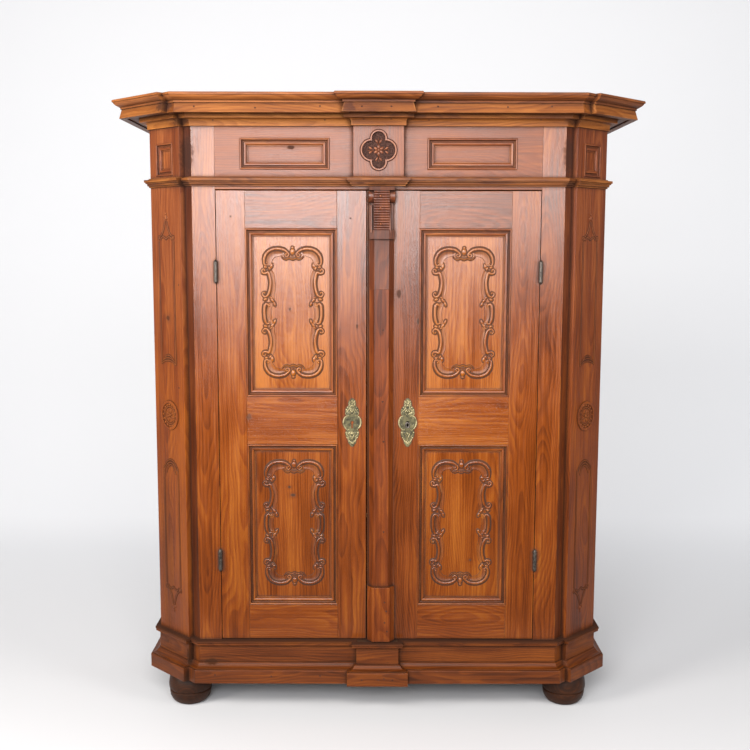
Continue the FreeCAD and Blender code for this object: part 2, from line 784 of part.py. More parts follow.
def slide_bolt(end, direction):
    """Bar whose tip is at end and points in direction, with a knob near its tail."""
    tail = end - direction * bolt_bar_length
    bar = box(bolt_x - bolt_width / 2, bolt_x + bolt_width / 2, bolt_front, bolt_back,
              min(end, tail), max(end, tail))
    knob_root = V(bolt_x, bolt_back - bolt_fit, tail + direction * knob_inset)
    knob = rod(knob_radius, knob_root, knob_root + V(0, knob_length, 0))
    return joined(bar, knob)


def staple(z):
    plate_back = board + bolt_plate_thickness
    outer = box(bolt_x - staple_width / 2, bolt_x + staple_width / 2, plate_back,
                bolt_back + bolt_slack + staple_wall, z - staple_height / 2, z + staple_height / 2)
    gap = box(bolt_x - bolt_width / 2 - bolt_slack, bolt_x + bolt_width / 2 + bolt_slack,
              plate_back, bolt_back + bolt_slack, z - staple_height, z + staple_height)
    return cut(outer, gap)


def bolt_plate(end, direction):
    start = end - direction * plate_margin
    stop = start - direction * plate_length
    plate = box(bolt_x - staple_width / 2, bolt_x + staple_width / 2, board,
                board + bolt_plate_thickness, min(start, stop), max(start, stop))
    staples = [staple(start - direction * staple_height),
               staple(start - direction * plate_length * rear_staple_share)]
    return joined(plate, *staples)


top_bolt_end = door_top - bolt_rest_gap
bottom_bolt_end = door_bottom + bolt_rest_gap
save("left_door_top_bolt", slide_bolt(top_bolt_end, 1))
save("left_door_bottom_bolt", slide_bolt(bottom_bolt_end, -1))
save("left_door_bolt_plates", [bolt_plate(top_bolt_end, 1), bolt_plate(bottom_bolt_end, -1)])

# Frieze: one rail between the stiles, sunk panels, a projecting block with a quatrefoil
frieze_panel_inset = 76.0
frieze_panel_width = 266.0
frieze_panel_outer = opening_half_width - frieze_panel_inset
frieze_panel_inner = frieze_panel_outer - frieze_panel_width
frieze_panel_rise = 22.0
frieze_panel_height = 91.0
frieze_panel_depth = 9.0
frieze_panel_low = frieze_bottom + frieze_panel_rise
frieze_pocket = box(frieze_panel_inner, frieze_panel_outer, -overrun, frieze_panel_depth,
                    frieze_panel_low, frieze_panel_low + frieze_panel_height)
rail = box(-opening_half_width, opening_half_width, 0, board, opening_top, body_top)
save("frieze_rail", cut(rail, frieze_pocket, mirrored(frieze_pocket)))
frieze_frame = panel_moulding(V(frieze_panel_inner, 0, frieze_panel_low), V(1, 0, 0),
                              frieze_panel_width, frieze_panel_height, frieze_panel_depth, OUT)
save("frieze_mouldings", both_sides(frieze_frame))

lobe_side_radius = 32.0
lobe_side_offset = 21.5
lobe_end_radius = 24.5
lobe_end_offset = 34.0
rim_width = 4.5
rim_rise = 3.0
ground_depth = 8.0
ground_thickness = 3.0
medallion_share = 0.52
medallion_level = frieze_bottom + frieze_height * medallion_share


def quatrefoil(inset, y0, y1):
    centres = [(s * lobe_side_offset, 0, lobe_side_radius) for s in (1, -1)]
    centres += [(0, s * lobe_end_offset, lobe_end_radius) for s in (1, -1)]
    lobes = [rod(radius - inset, V(x, y0, medallion_level + z), V(x, y1, medallion_level + z))
             for x, z, radius in centres]
    return joined(lobes[0], *lobes[1:])


block_face = -break_depth
ground_back = block_face + ground_depth
block = box(-frieze_break_half, frieze_break_half, block_face, 0, frieze_bottom, frieze_top)
save("frieze_block", cut(block, quatrefoil(0, block_face - overrun, ground_back)))
rim = cut(quatrefoil(0, block_face - rim_rise, ground_back),
          quatrefoil(rim_width, block_face - rim_rise - overrun, ground_back - ground_thickness))
save("quatrefoil_medallion", rim)

# Architrave round the body, below the frieze
architrave_top_slope = 4.0
architrave_tip_height = 7.0
architrave_quirk = 4.0
architrave_foot = 5.0
architrave_fillet = 4.0
architrave_tip_high = frieze_bottom - architrave_top_slope
architrave_tip_low = architrave_tip_high - architrave_tip_height
ogee_low = architrave_bottom + architrave_fillet
ogee_high = architrave_tip_low - architrave_quirk
ogee_tip = architrave_projection - architrave_quirk
architrave_profile = [
    [(0, architrave_bottom), (architrave_foot, architrave_bottom)],
    [(architrave_foot, architrave_bottom), (architrave_foot, ogee_low)],
    [(architrave_foot, ogee_low), (ogee_tip, ogee_low), (architrave_foot, ogee_high), (ogee_tip, ogee_high)],
    [(ogee_tip, ogee_high), (ogee_tip, architrave_tip_low)],
    [(ogee_tip, architrave_tip_low), (architrave_projection, architrave_tip_low)],
    [(architrave_projection, architrave_tip_low), (architrave_projection, architrave_tip_high)],
    [(architrave_projection, architrave_tip_high), (architrave_foot, architrave_tip_high),
     (architrave_foot, frieze_bottom)],
    [(architrave_foot, frieze_bottom), (0, frieze_bottom)],
    [(0, frieze_bottom), (0, architrave_bottom)]]
save("architrave_moulding", moulding(architrave_profile, ring_stations(frieze_break_half)))

# Bed moulding under the cornice
bed_foot = 6.0
bed_fillet = 7.0
bed_bead_height = 13.0
bed_step = 5.0
bed_hollow_top = soffit_level - bed_bead_height
bed_profile = [
    [(0, frieze_top), (bed_foot, frieze_top)],
    [(bed_foot, frieze_top), (bed_foot, frieze_top + bed_fillet)],
    [(bed_foot, frieze_top + bed_fillet), (bed_foot, bed_hollow_top),
     (bed_foot + bed_step, bed_hollow_top), (bed_projection - bed_step, bed_hollow_top)],
    [(bed_projection - bed_step, bed_hollow_top), (bed_projection, bed_hollow_top)],
    [(bed_projection, bed_hollow_top), (bed_projection, soffit_level)],
    [(bed_projection, soffit_level), (0, soffit_level)],
    [(0, soffit_level), (0, frieze_top)]]
save("bed_moulding", moulding(bed_profile, ring_stations(frieze_break_half)))

# Top of the body and the cornice: boards, leaning fascia and crown
save("top_board", prism(outline(0, frieze_break_half), body_top, soffit_level))
corona_back = corona_projection - corona_board
soffit = prism(outline(corona_back, cornice_break_half), soffit_level, soffit_level + soffit_thickness)
dust_low = soffit_level + soffit_thickness
dust_board = prism(outline(crown_depth, cornice_break_half), dust_low, dust_low + dust_board_thickness)
save("cornice_boards", [soffit, dust_board])
corona_profile = [
    [(corona_back, corona_bottom), (corona_projection, corona_bottom)],
    [(corona_projection, corona_bottom), (corona_projection - corona_lean, corona_top)],
    [(corona_projection - corona_lean, corona_top), (corona_back, corona_top)],
    [(corona_back, corona_top), (corona_back, corona_bottom)]]
save("cornice_fascia", moulding(corona_profile, ring_stations(cornice_break_half)))

crown_fillet = 6.0
crown_fillet_step = 4.0
crown_lip = 5.0
crown_lip_step = 3.5
crown_bevel = 2.0
crown_foot = corona_projection - corona_lean
crown_start = crown_foot + crown_fillet_step
crown_curve_low = corona_top + crown_fillet
crown_curve_high = overall_height - crown_lip - crown_bevel
crown_middle = (crown_curve_low + crown_curve_high) / 2
crown_lip_foot = crown_projection - crown_lip_step
crown_profile = [
    [(crown_depth, corona_top), (crown_start, corona_top)],
    [(crown_start, corona_top), (crown_start, crown_curve_low)],
    [(crown_start, crown_curve_low), (crown_start + crown_fillet, crown_curve_low),
     (crown_lip_foot, crown_middle), (crown_lip_foot, crown_curve_high)],
    [(crown_lip_foot, crown_curve_high), (crown_projection, crown_curve_high)],
    [(crown_projection, crown_curve_high), (crown_projection, overall_height - crown_bevel)],
    [(crown_projection, overall_height - crown_bevel), (crown_projection - crown_bevel, overall_height)],
    [(crown_projection - crown_bevel, overall_height), (crown_depth, overall_height)],
    [(crown_depth, overall_height), (crown_depth, corona_top)]]
save("crown_moulding", moulding(crown_profile, ring_stations(cornice_break_half)))

# Keeper on the frieze rail for the upper slide bolt
catch_rise = 4.0
catch_height = 18.0
catch_width = 30.0
catch_low = opening_top + catch_rise
catch = box(bolt_x - catch_width / 2, bolt_x + catch_width / 2, board, bolt_back + bolt_fit + staple_wall,
            catch_low, catch_low + catch_height)
catch_gap = box(bolt_x - bolt_width / 2 - bolt_fit, bolt_x + bolt_width / 2 + bolt_fit,
                bolt_front - bolt_fit, bolt_back + bolt_fit,
                catch_low - overrun, catch_low + catch_height + overrun)
save("bolt_catch", cut(catch, catch_gap))

# Framed sides: two stiles and three rails round two fielded panels
side_inner = body_half_width - board
side_stile_width = 90.0
side_front_edge = corner_outer.y + side_stile_width
side_back_edge = body_depth - side_stile_width
side_groove_outer = body_half_width - panel_depth
side_groove_inner = side_groove_outer - panel_thickness
field_margin = 30.0
field_rise = 6.0


def side_grooves():
    reach = panel_tongue + shell_gap
    return [box(side_groove_inner, side_groove_outer, side_front_edge - reach, side_back_edge + reach,
                low - reach, high + reach) for low, high in panel_levels.values()]


def side_frame():
    front_plan = [corner_outer, (body_half_width, side_front_edge),
                  (side_inner, side_front_edge), corner_back]
    front = prism(front_plan, floor_top, body_top)
    back = box(side_inner, body_half_width, side_back_edge, body_depth, floor_top, body_top)
    levels = [(floor_top, lower_panel_bottom),
              (lower_panel_top, upper_panel_bottom),
              (upper_panel_top, body_top)]
    rails = [box(side_inner, body_half_width, side_front_edge, side_back_edge, low, high)
             for low, high in levels]
    return [cut(piece, *side_grooves()) for piece in [front, back] + rails]


def side_panel(low, high):
    panel = box(side_groove_inner, side_groove_outer, side_front_edge - panel_tongue,
                side_back_edge + panel_tongue, low - panel_tongue, high + panel_tongue)
    edge = [V(side_groove_outer, side_front_edge + shell_gap, low + shell_gap),
            V(side_groove_outer, side_back_edge - shell_gap, low + shell_gap),
            V(side_groove_outer, side_back_edge - shell_gap, high - shell_gap),
            V(side_groove_outer, side_front_edge + shell_gap, high - shell_gap)]
    top = [V(side_groove_outer + field_rise, side_front_edge + field_margin, low + field_margin),
           V(side_groove_outer + field_rise, side_back_edge - field_margin, low + field_margin),
           V(side_groove_outer + field_rise, side_back_edge - field_margin, high - field_margin),
           V(side_groove_outer + field_rise, side_front_edge + field_margin, high - field_margin)]
    wires = [Part.makePolygon(points + points[:1]) for points in (edge, top)]
    return joined(panel, Part.makeLoft(wires, True, True))


side = side_frame()
save("side_frame_right", side)
save("side_frame_left", [mirrored(s) for s in side])
save("side_panels", both_sides([side_panel(low, high) for low, high in panel_levels.values()]))

# Back of upright boards, their outer edges eased
back_count = 7
back_chamfer = 2.0
back_front = body_depth - back_thickness
back_width = 2 * side_inner / back_count


def back_plank(i):
    x0 = -side_inner + i * back_width
    x1 = x0 + back_width
    return prism([(x0, back_front), (x1, back_front), (x1, body_depth - back_chamfer),
                  (x1 - back_chamfer, body_depth), (x0 + back_chamfer, body_depth),
                  (x0, body_depth - back_chamfer)], floor_top, body_top)


save("back_boards", [back_plank(i) for i in range(back_count)])

# Three shelves on bearers
shelf_count = 3
first_shelf_height = 600.0
shelf_spacing = 360.0
shelf_thickness = 20.0
shelf_front_depth = 90.0
shelf_gap = 1.0
bearer_width = 24.0
bearer_height = 20.0
shelf_levels = [first_shelf_height + i * shelf_spacing for i in range(shelf_count)]
cant_inset = shelf_front_depth + mitre_back.x - board - shelf_gap / diagonal_share
shelf_corner = side_inner - shelf_gap
shelf_corner_depth = shelf_front_depth + shelf_corner - cant_inset
shelf_right = [(cant_inset, shelf_front_depth), (shelf_corner, shelf_corner_depth),
               (shelf_corner, back_front)]
shelf_plan = shelf_right + [(-x, y) for x, y in reversed(shelf_right)]
save("shelves", [prism(shelf_plan, z, z + shelf_thickness) for z in shelf_levels])
bearers = [box(side_inner - bearer_width, side_inner, corner_back.y + bearer_width, back_front,
               z - bearer_height, z) for z in shelf_levels]
save("shelf_bearers", both_sides(bearers))

os.makedirs("parts", exist_ok=True)
for name, shape in nodes.items():
    shape.exportStep("parts/" + name + ".step")
    print(name, len(shape.Solids), "solids, valid" if shape.isValid() else "solids, NOT valid")
print(len(nodes), "nodes, height", overall_height, "depth", overall_depth, "width",
      2 * (body_half_width + crown_projection))
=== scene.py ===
# %% [markdown]
# # Dressing a carved two-door cabinet
#
# The real object is a wooden cabinet with canted corners, turned feet, a heavy cornice and
# two panelled doors with carved frames on their panels. A packed CAD model gives every
# board, hinge and bolt at its true size. This lesson loads that model, keeps each board
# where it is, and gives it what a plain solid lacks: eased edges, grain that follows each
# board, old wax and painted shade in the quirks, carving, and worn metal.

# %% Load the packed model
import json
import math
import random

import bmesh
import bpy
from mathutils import Matrix, Vector
from mathutils.bvhtree import BVHTree


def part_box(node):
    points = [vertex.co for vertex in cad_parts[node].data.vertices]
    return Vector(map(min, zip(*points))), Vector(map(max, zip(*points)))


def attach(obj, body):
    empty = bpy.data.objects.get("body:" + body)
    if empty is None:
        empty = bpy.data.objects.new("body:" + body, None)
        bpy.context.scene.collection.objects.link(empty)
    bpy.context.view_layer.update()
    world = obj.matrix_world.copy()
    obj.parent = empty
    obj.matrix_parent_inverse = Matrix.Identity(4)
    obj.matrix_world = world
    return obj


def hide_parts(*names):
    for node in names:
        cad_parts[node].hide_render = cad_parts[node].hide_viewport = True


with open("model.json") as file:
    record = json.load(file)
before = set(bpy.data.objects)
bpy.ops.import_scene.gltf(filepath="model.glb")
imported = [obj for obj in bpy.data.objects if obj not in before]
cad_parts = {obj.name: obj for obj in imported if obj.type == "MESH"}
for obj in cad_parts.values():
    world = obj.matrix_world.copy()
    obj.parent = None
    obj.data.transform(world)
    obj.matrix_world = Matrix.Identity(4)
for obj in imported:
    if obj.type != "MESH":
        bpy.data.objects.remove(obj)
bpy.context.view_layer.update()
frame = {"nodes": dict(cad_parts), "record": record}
nodes = frame["nodes"]
record = frame["record"]
body_of = {node: body for body, group in record["behaviour"]["bodies"].items() for node in group}
slot_of = {row["node"]: row["material_slot"] for row in record["subparts"]}
mm = 0.001

# %% [markdown]
# ## Camera
#
# The photograph was taken from straight in front, from about three quarters of the
# cabinet's height, with the lens tipped down by seven degrees. The angles were worked out
# from the edges of the cabinet. A camera could also be aimed with a constraint, but plain
# angles stay exact.

# %% Place the camera
lens_length = 50.205
camera_place = (-0.01366, -3.35806, 1.46565)
tip_down = math.radians(7.07)
turn_right = math.radians(0.08)
roll = math.radians(0.13)
camera_data = bpy.data.cameras.new("studio_camera")
camera_data.sensor_width = 36
camera_data.lens = lens_length
camera = bpy.data.objects.new("studio_camera", camera_data)
aim = Matrix.Rotation(-turn_right, 4, "Z") @ Matrix.Rotation(math.pi / 2 - tip_down, 4, "X")
stand = Matrix.Translation(camera_place) @ aim @ Matrix.Rotation(roll, 4, "Z")
camera.matrix_world = stand
bpy.context.scene.collection.objects.link(camera)
bpy.context.scene.camera = camera
print("camera", camera.name, "lens", camera_data.lens)

# %% [markdown]
# ## Marks seen in the picture
#
# Nail holes, knots and patches of painted shade were read off the photograph as places in a picture 750 units
# wide.
# A ray from the camera through such a place meets the packed model at the mark itself. The
# marks could be given in millimetres instead, but then each would have to be measured.

# %% Find a mark on the model
picture_width = 750
lens_step = camera_data.sensor_width / camera_data.lens / picture_width
frieze_knot = (291, 147.5)


def surface_of(node):
    mesh = nodes[node].data
    return BVHTree.FromPolygons([v.co for v in mesh.vertices], [face.vertices for face in mesh.polygons])


def seen_on(node, right, down):
    """Place and outward way of the surface at a place in the picture."""
    middle = picture_width / 2
    way = stand.to_3x3() @ Vector(((right - middle) * lens_step, (middle - down) * lens_step, -1))
    place, out, _, _ = surface_of(node).ray_cast(stand.translation, way.normalized())
    return place, out


print("the frieze knot lies at", seen_on("frieze_rail", *frieze_knot)[0])

# %% [markdown]
# ## Wiring a material
#
# A material is a tree of small nodes, and wiring them by hand takes three lines for each.
# These short hands add a node, set it and link it in one line, so that a finish reads like
# the recipe that it is.

# %% Make the short hands


class Wiring:
    """Short hands for adding and linking the nodes of one tree."""

    def __init__(self, tree):
        self.tree = tree

    def add(self, kind, settings=None, **links):
        node = self.tree.nodes.new("ShaderNode" + kind)
        for key, value in (settings or {}).items():
            setattr(node, key, value)
        for key, value in links.items():
            self.feed(node.inputs[key.replace("_", " ")], value)
        return node

    def feed(self, socket, value):
        if isinstance(value, bpy.types.NodeSocket):
            self.tree.links.new(value, socket)
        else:
            socket.default_value = value

    def attribute(self, name, output="Fac"):
        return self.add("Attribute", {"attribute_name": name}).outputs[output]

    def math(self, operation, first, second=0.0, clamp=False):
        node = self.add("Math", {"operation": operation, "use_clamp": clamp})
        self.feed(node.inputs[0], first)
        self.feed(node.inputs[1], second)
        return node.outputs[0]

    def swing(self, value, amount):
        """Swings about zero by an amount, from a value that swings about a half."""
        return self.math("MULTIPLY", self.math("SUBTRACT", value, 0.5), amount)

    def ramp(self, value, low, high, to_low=0.0, to_high=1.0, interpolation="SMOOTHSTEP"):
        node = self.add("MapRange", {"interpolation_type": interpolation})
        for i, part in enumerate((value, low, high, to_low, to_high)):
            self.feed(node.inputs[i], part)
        return node.outputs[0]

    def scaled(self, vector, scale):
        node = self.add("VectorMath", {"operation": "MULTIPLY"})
        self.feed(node.inputs[0], vector)
        node.inputs[1].default_value = scale
        return node.outputs[0]

    def noise(self, vector, scale, detail=2.0, rough=0.5):
        return self.add("TexNoise", Vector=vector, Scale=scale, Detail=detail, Roughness=rough).outputs[0]

    def mix(self, share, first, second, blend="MIX"):
        node = self.add("Mix", {"data_type": "RGBA", "blend_type": blend})
        for i, part in ((0, share), (6, first), (7, second)):
            self.feed(node.inputs[i], part)
        return node.outputs[2]


def new_group(name, inputs, outputs):
    """A shader node group with named sockets: (kind, name, start value)."""
    group = bpy.data.node_groups.new(name, "ShaderNodeTree")
    for kind, label, value in inputs:
        socket = group.interface.new_socket(name=label, in_out="INPUT", socket_type="NodeSocket" + kind)
        if value is not None:
            socket.default_value = value
    for label in outputs:
        group.interface.new_socket(name=label, in_out="OUTPUT", socket_type="NodeSocketFloat")
    return group


def new_material(name):
    """A material with its shader and the short hands for its tree."""
    material = bpy.data.materials.new(name)
    material.use_nodes = True
    return material, material.node_tree.nodes["Principled BSDF"], Wiring(material.node_tree)


print("short hands", [name for name in vars(Wiring) if not name.startswith("_")])

# %% [markdown]
# ## Studio
#
# The cabinet stands on pale paper that curves up into a wall, as in a photographer's studio.
# A plane with a plain background would show a seam, so one edge is extruded along the whole
# sweep. The waxed wood in the photograph mirrors a dark studio floor that the paper doesn't
# cover. So reflections and bounced light see a dark floor in front of the cabinet, while the
# camera sees a pale one everywhere. The wall glows a little, as if it were lit from behind.

# %% Build the floor and the wall
floor_half = 9.0
wall_distance = 3.2
sweep_radius = 1.6
sweep_steps = 16
wall_height = 9.0


def studio_sweep():
    mesh = bpy.data.meshes.new("studio_sweep")
    shape = bmesh.new()
    first = shape.verts.new((-floor_half, -floor_half, 0))
    second = shape.verts.new((floor_half, -floor_half, 0))
    stops = [Vector((0, floor_half + wall_distance - sweep_radius, 0))]
    for i in range(sweep_steps):
        a, b = math.pi / 2 * i / sweep_steps, math.pi / 2 * (i + 1) / sweep_steps
        stops.append(Vector((0, math.sin(b) - math.sin(a), math.cos(a) - math.cos(b))) * sweep_radius)
    stops.append(Vector((0, 0, wall_height)))
    edges = [shape.edges.new((first, second))]
    for stop in stops:
        grown = bmesh.ops.extrude_edge_only(shape, edges=edges)["geom"]
        edges = [g for g in grown if isinstance(g, bmesh.types.BMEdge)]
        corners = [g for g in grown if isinstance(g, bmesh.types.BMVert)]
        bmesh.ops.translate(shape, verts=corners, vec=stop)
    bmesh.ops.recalc_face_normals(shape, faces=shape.faces)
    shape.to_mesh(mesh)
    shape.free()
    mesh.shade_smooth()
    return bpy.data.objects.new("studio_sweep", mesh)


sweep = studio_sweep()
print("studio sweep with", len(sweep.data.polygons), "faces")

# %% Colour the paper
floor_seen = (0.53, 0.536, 0.554)
floor_mirrored = (0.05, 0.53)
dark_floor_end = (-0.85, -0.62)
wall_glow = (0.325, 0.345)
wall_sides = (-2.6, 2.6)
glow_start = (0.1, 2.0)


def cool_grey(value):
    return (value, value * 1.012, value * 1.045, 1)


def paper_material():
    """Pale paper that glows towards the back, with a dark floor for reflections alone."""
    material, shader, w = new_material("studio_paper")
    right, back, _ = w.add("SeparateXYZ", Vector=w.add("TexCoord").outputs["Object"]).outputs
    behind = w.ramp(back, *dark_floor_end, interpolation="LINEAR")
    mirrored = w.mix(behind, cool_grey(floor_mirrored[0]), cool_grey(floor_mirrored[1]))
    by_camera = w.add("LightPath").outputs["Is Camera Ray"]
    w.feed(shader.inputs["Base Color"], w.mix(by_camera, mirrored, (*floor_seen, 1)))
    across = w.ramp(right, *wall_sides, interpolation="LINEAR")
    glow = w.mix(across, cool_grey(wall_glow[0]), cool_grey(wall_glow[1]))
    rising = w.ramp(back, *glow_start, interpolation="LINEAR")
    w.feed(shader.inputs["Emission Color"], w.mix(rising, cool_grey(0.0), glow))
    shader.inputs["Emission Strength"].default_value = 1.0
    shader.inputs["Roughness"].default_value = 0.9
    return material


sweep.data.materials.append(paper_material())
bpy.context.scene.collection.objects.link(sweep)
print("paper", sweep.data.materials[0].name)

# %% [markdown]
# ## Lights
#
# Three soft boxes stand behind the camera and a fourth hangs above it. Their reflections give
# the waxed doors a pale sheen that fades from the top down. Two more stand at the sides and
# catch the canted corners. One very large lamp would be simpler, but would wash out the grain.
# The air of the studio only fills the shadows, and looks pale where the camera sees past the
# paper.

# %% Set the lights
soft_boxes = [
    ("key_box", (-0.62, -3.62, 1.88), (-0.62, -0.2, 1.70), (1.4, 0.86), 86, (0.97, 0.98, 1.0)),
    ("key_skirt", (-0.62, -3.62, 1.22), (-0.62, -0.2, 1.15), (1.5, 0.4), 12, (0.97, 0.98, 1.0)),
    ("fill_box", (1.05, -3.62, 1.85), (1.05, -0.2, 1.70), (1.7, 0.8), 45, (1.0, 0.97, 0.95)),
    ("top_box", (-0.5, -3.3, 2.95), (-0.3, -0.2, 0.9), (2.6, 0.9), 128, (1.0, 0.97, 0.93)),
    ("left_box", (-3.2, -2.4, 2.1), (-0.5, 0, 1.2), (1.2, 2.0), 165, (1.0, 0.95, 0.89)),
    ("right_box", (3.2, -2.4, 2.1), (0.5, 0, 1.2), (1.2, 2.0), 85, (1.0, 0.97, 0.93))]
air_colour = (0.93, 0.96, 1.0)
air_fill = 0.12
air_seen = 0.8


def soft_box(name, place, target, size, power, colour):
    """A rectangular lamp of a width and a height that looks at its target."""
    light = bpy.data.lights.new(name, "AREA")
    light.shape = "RECTANGLE"
    light.size, light.size_y = size
    light.energy = power
    light.color = colour
    box = bpy.data.objects.new(name, light)
    way = Vector(target) - Vector(place)
    box.matrix_world = Matrix.Translation(place) @ way.to_track_quat("-Z", "Y").to_matrix().to_4x4()
    bpy.context.scene.collection.objects.link(box)


def studio_air():
    world = bpy.data.worlds.new("studio_air")
    world.use_nodes = True
    background = world.node_tree.nodes["Background"]
    background.inputs["Color"].default_value = (*air_colour, 1)
    w = Wiring(world.node_tree)
    by_camera = w.add("LightPath").outputs["Is Camera Ray"]
    w.feed(background.inputs["Strength"], w.ramp(by_camera, 0.0, 1.0, air_fill, air_seen, "LINEAR"))
    return world


for row in soft_boxes:
    soft_box(*row)
bpy.context.scene.world = studio_air()
bpy.context.scene.view_settings.view_transform = "Standard"

# %% [markdown]
# ## Wood grain
#
# Cherry has narrow darker rings, fine short pores and broad soft bands of lighter and
# redder wood. Grain runs along each board, so a pattern laid over the whole cabinet would
# look false. Each board therefore carries its own coordinates in an attribute called
# grain: along the board, across it, and through it, with the tree's heart somewhere behind.
# Rings are then circles round the heart, which a flat saw cut turns into long arches.

# %% Make the grain group
bend_stretch = (2.2, 9.0, 9.0)
ripple_stretch = (11.0, 26.0, 26.0)
streak_stretch = (3.0, 150.0, 150.0)
blotch_stretch = (3.5, 16.0, 16.0)
pore_stretch = (55.0, 1500.0, 1500.0)
bend_amount = 0.085
ripple_amount = 0.012
ring_width = 0.0065
waviness = 0.6
late_wood_peak = 0.86


def make_grain_group():
    inputs = [("Vector", "Grain", None), ("Float", "Ring Width", ring_width), ("Float", "Waviness", waviness)]
    group = new_group("wood_grain", inputs, ["Figure", "Streak", "Blotch", "Pores"])
    w = Wiring(group)
    inside = group.nodes.new("NodeGroupInput").outputs
    outside = group.nodes.new("NodeGroupOutput").inputs
    grain = inside["Grain"]
    _, across, depth = w.add("SeparateXYZ", Vector=grain).outputs
    squares = w.math("ADD", w.math("MULTIPLY", across, across), w.math("MULTIPLY", depth, depth))
    radius = w.math("SQRT", squares)
    bend = w.swing(w.noise(w.scaled(grain, bend_stretch), 1.0, 1.0), bend_amount)
    wave = w.swing(w.noise(w.scaled(grain, ripple_stretch), 1.0, 1.0), ripple_amount)
    ripple = w.math("MULTIPLY", wave, inside["Waviness"])
    warped = w.math("ADD", radius, w.math("ADD", bend, ripple))
    phase = w.math("FRACT", w.math("DIVIDE", warped, inside["Ring Width"]))
    rise = w.ramp(phase, 0.1, late_wood_peak)
    fall = w.ramp(phase, late_wood_peak, 1.0, 1.0, 0.0)
    w.feed(outside["Figure"], w.math("MULTIPLY", rise, fall))
    w.feed(outside["Streak"], w.noise(w.scaled(grain, streak_stretch), 1.0, 3.0, 0.6))
    w.feed(outside["Blotch"], w.noise(w.scaled(grain, blotch_stretch), 1.0, 2.0))
    w.feed(outside["Pores"], w.ramp(w.noise(w.scaled(grain, pore_stretch), 1.0, 1.0), 0.36, 0.62))
    return group


grain_group = make_grain_group()
print("grain group with", len(grain_group.nodes), "nodes")

# %% [markdown]
# ## Old wax, painted shade and rubbed edges
#
# Long years of wax and dust lie dark in every quirk and seam, and hands rub the sharp
# edges lighter. Both could be painted by hand. Here an occlusion test finds the hollows and
# another, turned inwards, finds the edges, so the same rule serves every board. The darkening
# of the hollows paints their shade as well as the old wax. A carved strip can also carry its
# own darkening attribute for grooves that are too fine for the test.

# %% Make the age group
hollow_reach = 0.012
edge_reach = 0.0035
occlusion_samples = 6
patch_scale = 24.0
speck_scale = 17.0
dent_scale = 38.0


def make_age_group():
    inputs = [("Vector", "Place", None), ("Float", "Grime", 0.0), ("Float", "Reach", hollow_reach)]
    group = new_group("age_and_shade_marks", inputs, ["Dirt", "Rub", "Specks", "Dents"])
    w = Wiring(group)
    inside = group.nodes.new("NodeGroupInput").outputs
    outside = group.nodes.new("NodeGroupOutput").inputs
    place = inside["Place"]
    hollow = w.add("AmbientOcclusion", {"samples": occlusion_samples}, Distance=inside["Reach"])
    edge = w.add("AmbientOcclusion", {"samples": occlusion_samples, "inside": True, "only_local": True},
                 Distance=edge_reach)
    patchy = w.noise(place, patch_scale, 3.0)
    # The occlusion darkens the hollows: old wax and painted shade.
    closed = w.ramp(hollow.outputs["AO"], 0.45, 0.97, 1.0, 0.0)
    dirt_and_shade = w.math("MULTIPLY", closed, w.ramp(patchy, 0.2, 0.6, 0.7, 1.0))
    bare = w.ramp(edge.outputs["AO"], 0.55, 0.9, 1.0, 0.0)
    spots = w.add("TexVoronoi", {"feature": "F1"}, Vector=place, Scale=speck_scale)
    specks = w.ramp(spots.outputs["Distance"], 0.02, 0.036, 1.0, 0.0)
    rare = w.ramp(w.noise(place, 5.0, 1.0), 0.55, 0.6)
    w.feed(outside["Dirt"], w.math("MAXIMUM", dirt_and_shade, inside["Grime"]))
    w.feed(outside["Rub"], w.math("MULTIPLY", bare, w.ramp(patchy, 0.45, 0.7)))
    w.feed(outside["Specks"], w.math("MULTIPLY", specks, rare))
    w.feed(outside["Dents"], w.noise(place, dent_scale, 2.0))
    return group


def age_and_shade_marks(w, place, reach):
    """Old wax and painted shade in the hollows, rub, specks and dents of a finish; a carved strip adds its
    own darkening.
    """
    grime = w.attribute("grime")
    return w.add("Group", {"node_tree": age_group}, Place=place, Grime=grime, Reach=reach).outputs


age_group = make_age_group()
print("age group with", len(age_group.nodes), "nodes")

# %% [markdown]
# ## Knots and patches of painted shade
#
# A few dark knots and stained places give the fronts their character, so each one is set
# where the photograph shows it. The patches at the notches of the cornice, the corner boards
# and the base paint the shade that lies in the notches, and a broad faint one paints shade on
# the lower part of the left canted corner. A noise would scatter knots at random instead.
# Each mark is a stretched ball round its place, with a ragged rim and a wider, fainter halo.

# %% Make the knot group
# The marks on the cornice, the architrave, the corner boards, the base frame and the plinth, and the broad
# one on the left canted corner, are painted shade; the others are knots.
knots_and_notch_shade = [("frieze_rail", *frieze_knot, 13, 6, 1.0), ("right_door_lock_stile", 399, 294, 8, 15, 0.9),
         ("right_door_lock_stile", 418, 321, 5, 14, 0.9), ("left_door_lock_stile", 357, 326, 3, 8, 1.0),
         ("left_door_middle_rail", 249, 417, 9, 10, 0.7), ("left_door_lower_panel", 293, 495, 8, 6, 1.0),
         ("left_door_lower_panel", 289.5, 487, 5, 4, 1.0), ("base_frame", 212, 661, 24, 12, 0.8),
         ("left_door_upper_panel", 290, 309, 4, 5, 0.9), ("right_door_lower_panel", 470, 560, 5, 4, 0.9),
         ("corner_pilaster_left", 168, 318, 7, 9, 0.9), ("cornice_fascia", 162, 106, 34, 18, 0.85),
         ("bed_moulding", 183, 121, 40, 18, 0.85), ("architrave_moulding", 184, 184, 34, 12, 0.85),
         ("bed_moulding", 572, 121, 30, 14, 0.7), ("architrave_moulding", 570, 184, 26, 10, 0.7),
         ("architrave_moulding", 360, 183, 16, 5, 0.5), ("corner_board_left", 187, 155, 26, 66, 0.85),
         ("corner_board_right", 569, 155, 22, 60, 0.7), ("base_frame", 190, 655, 12, 34, 0.8),
         ("plinth_band", 187, 678, 12, 22, 0.7), ("corner_pilaster_left", 168, 560, 60, 330, 0.3)]
knot_depth = 1 / 30.0


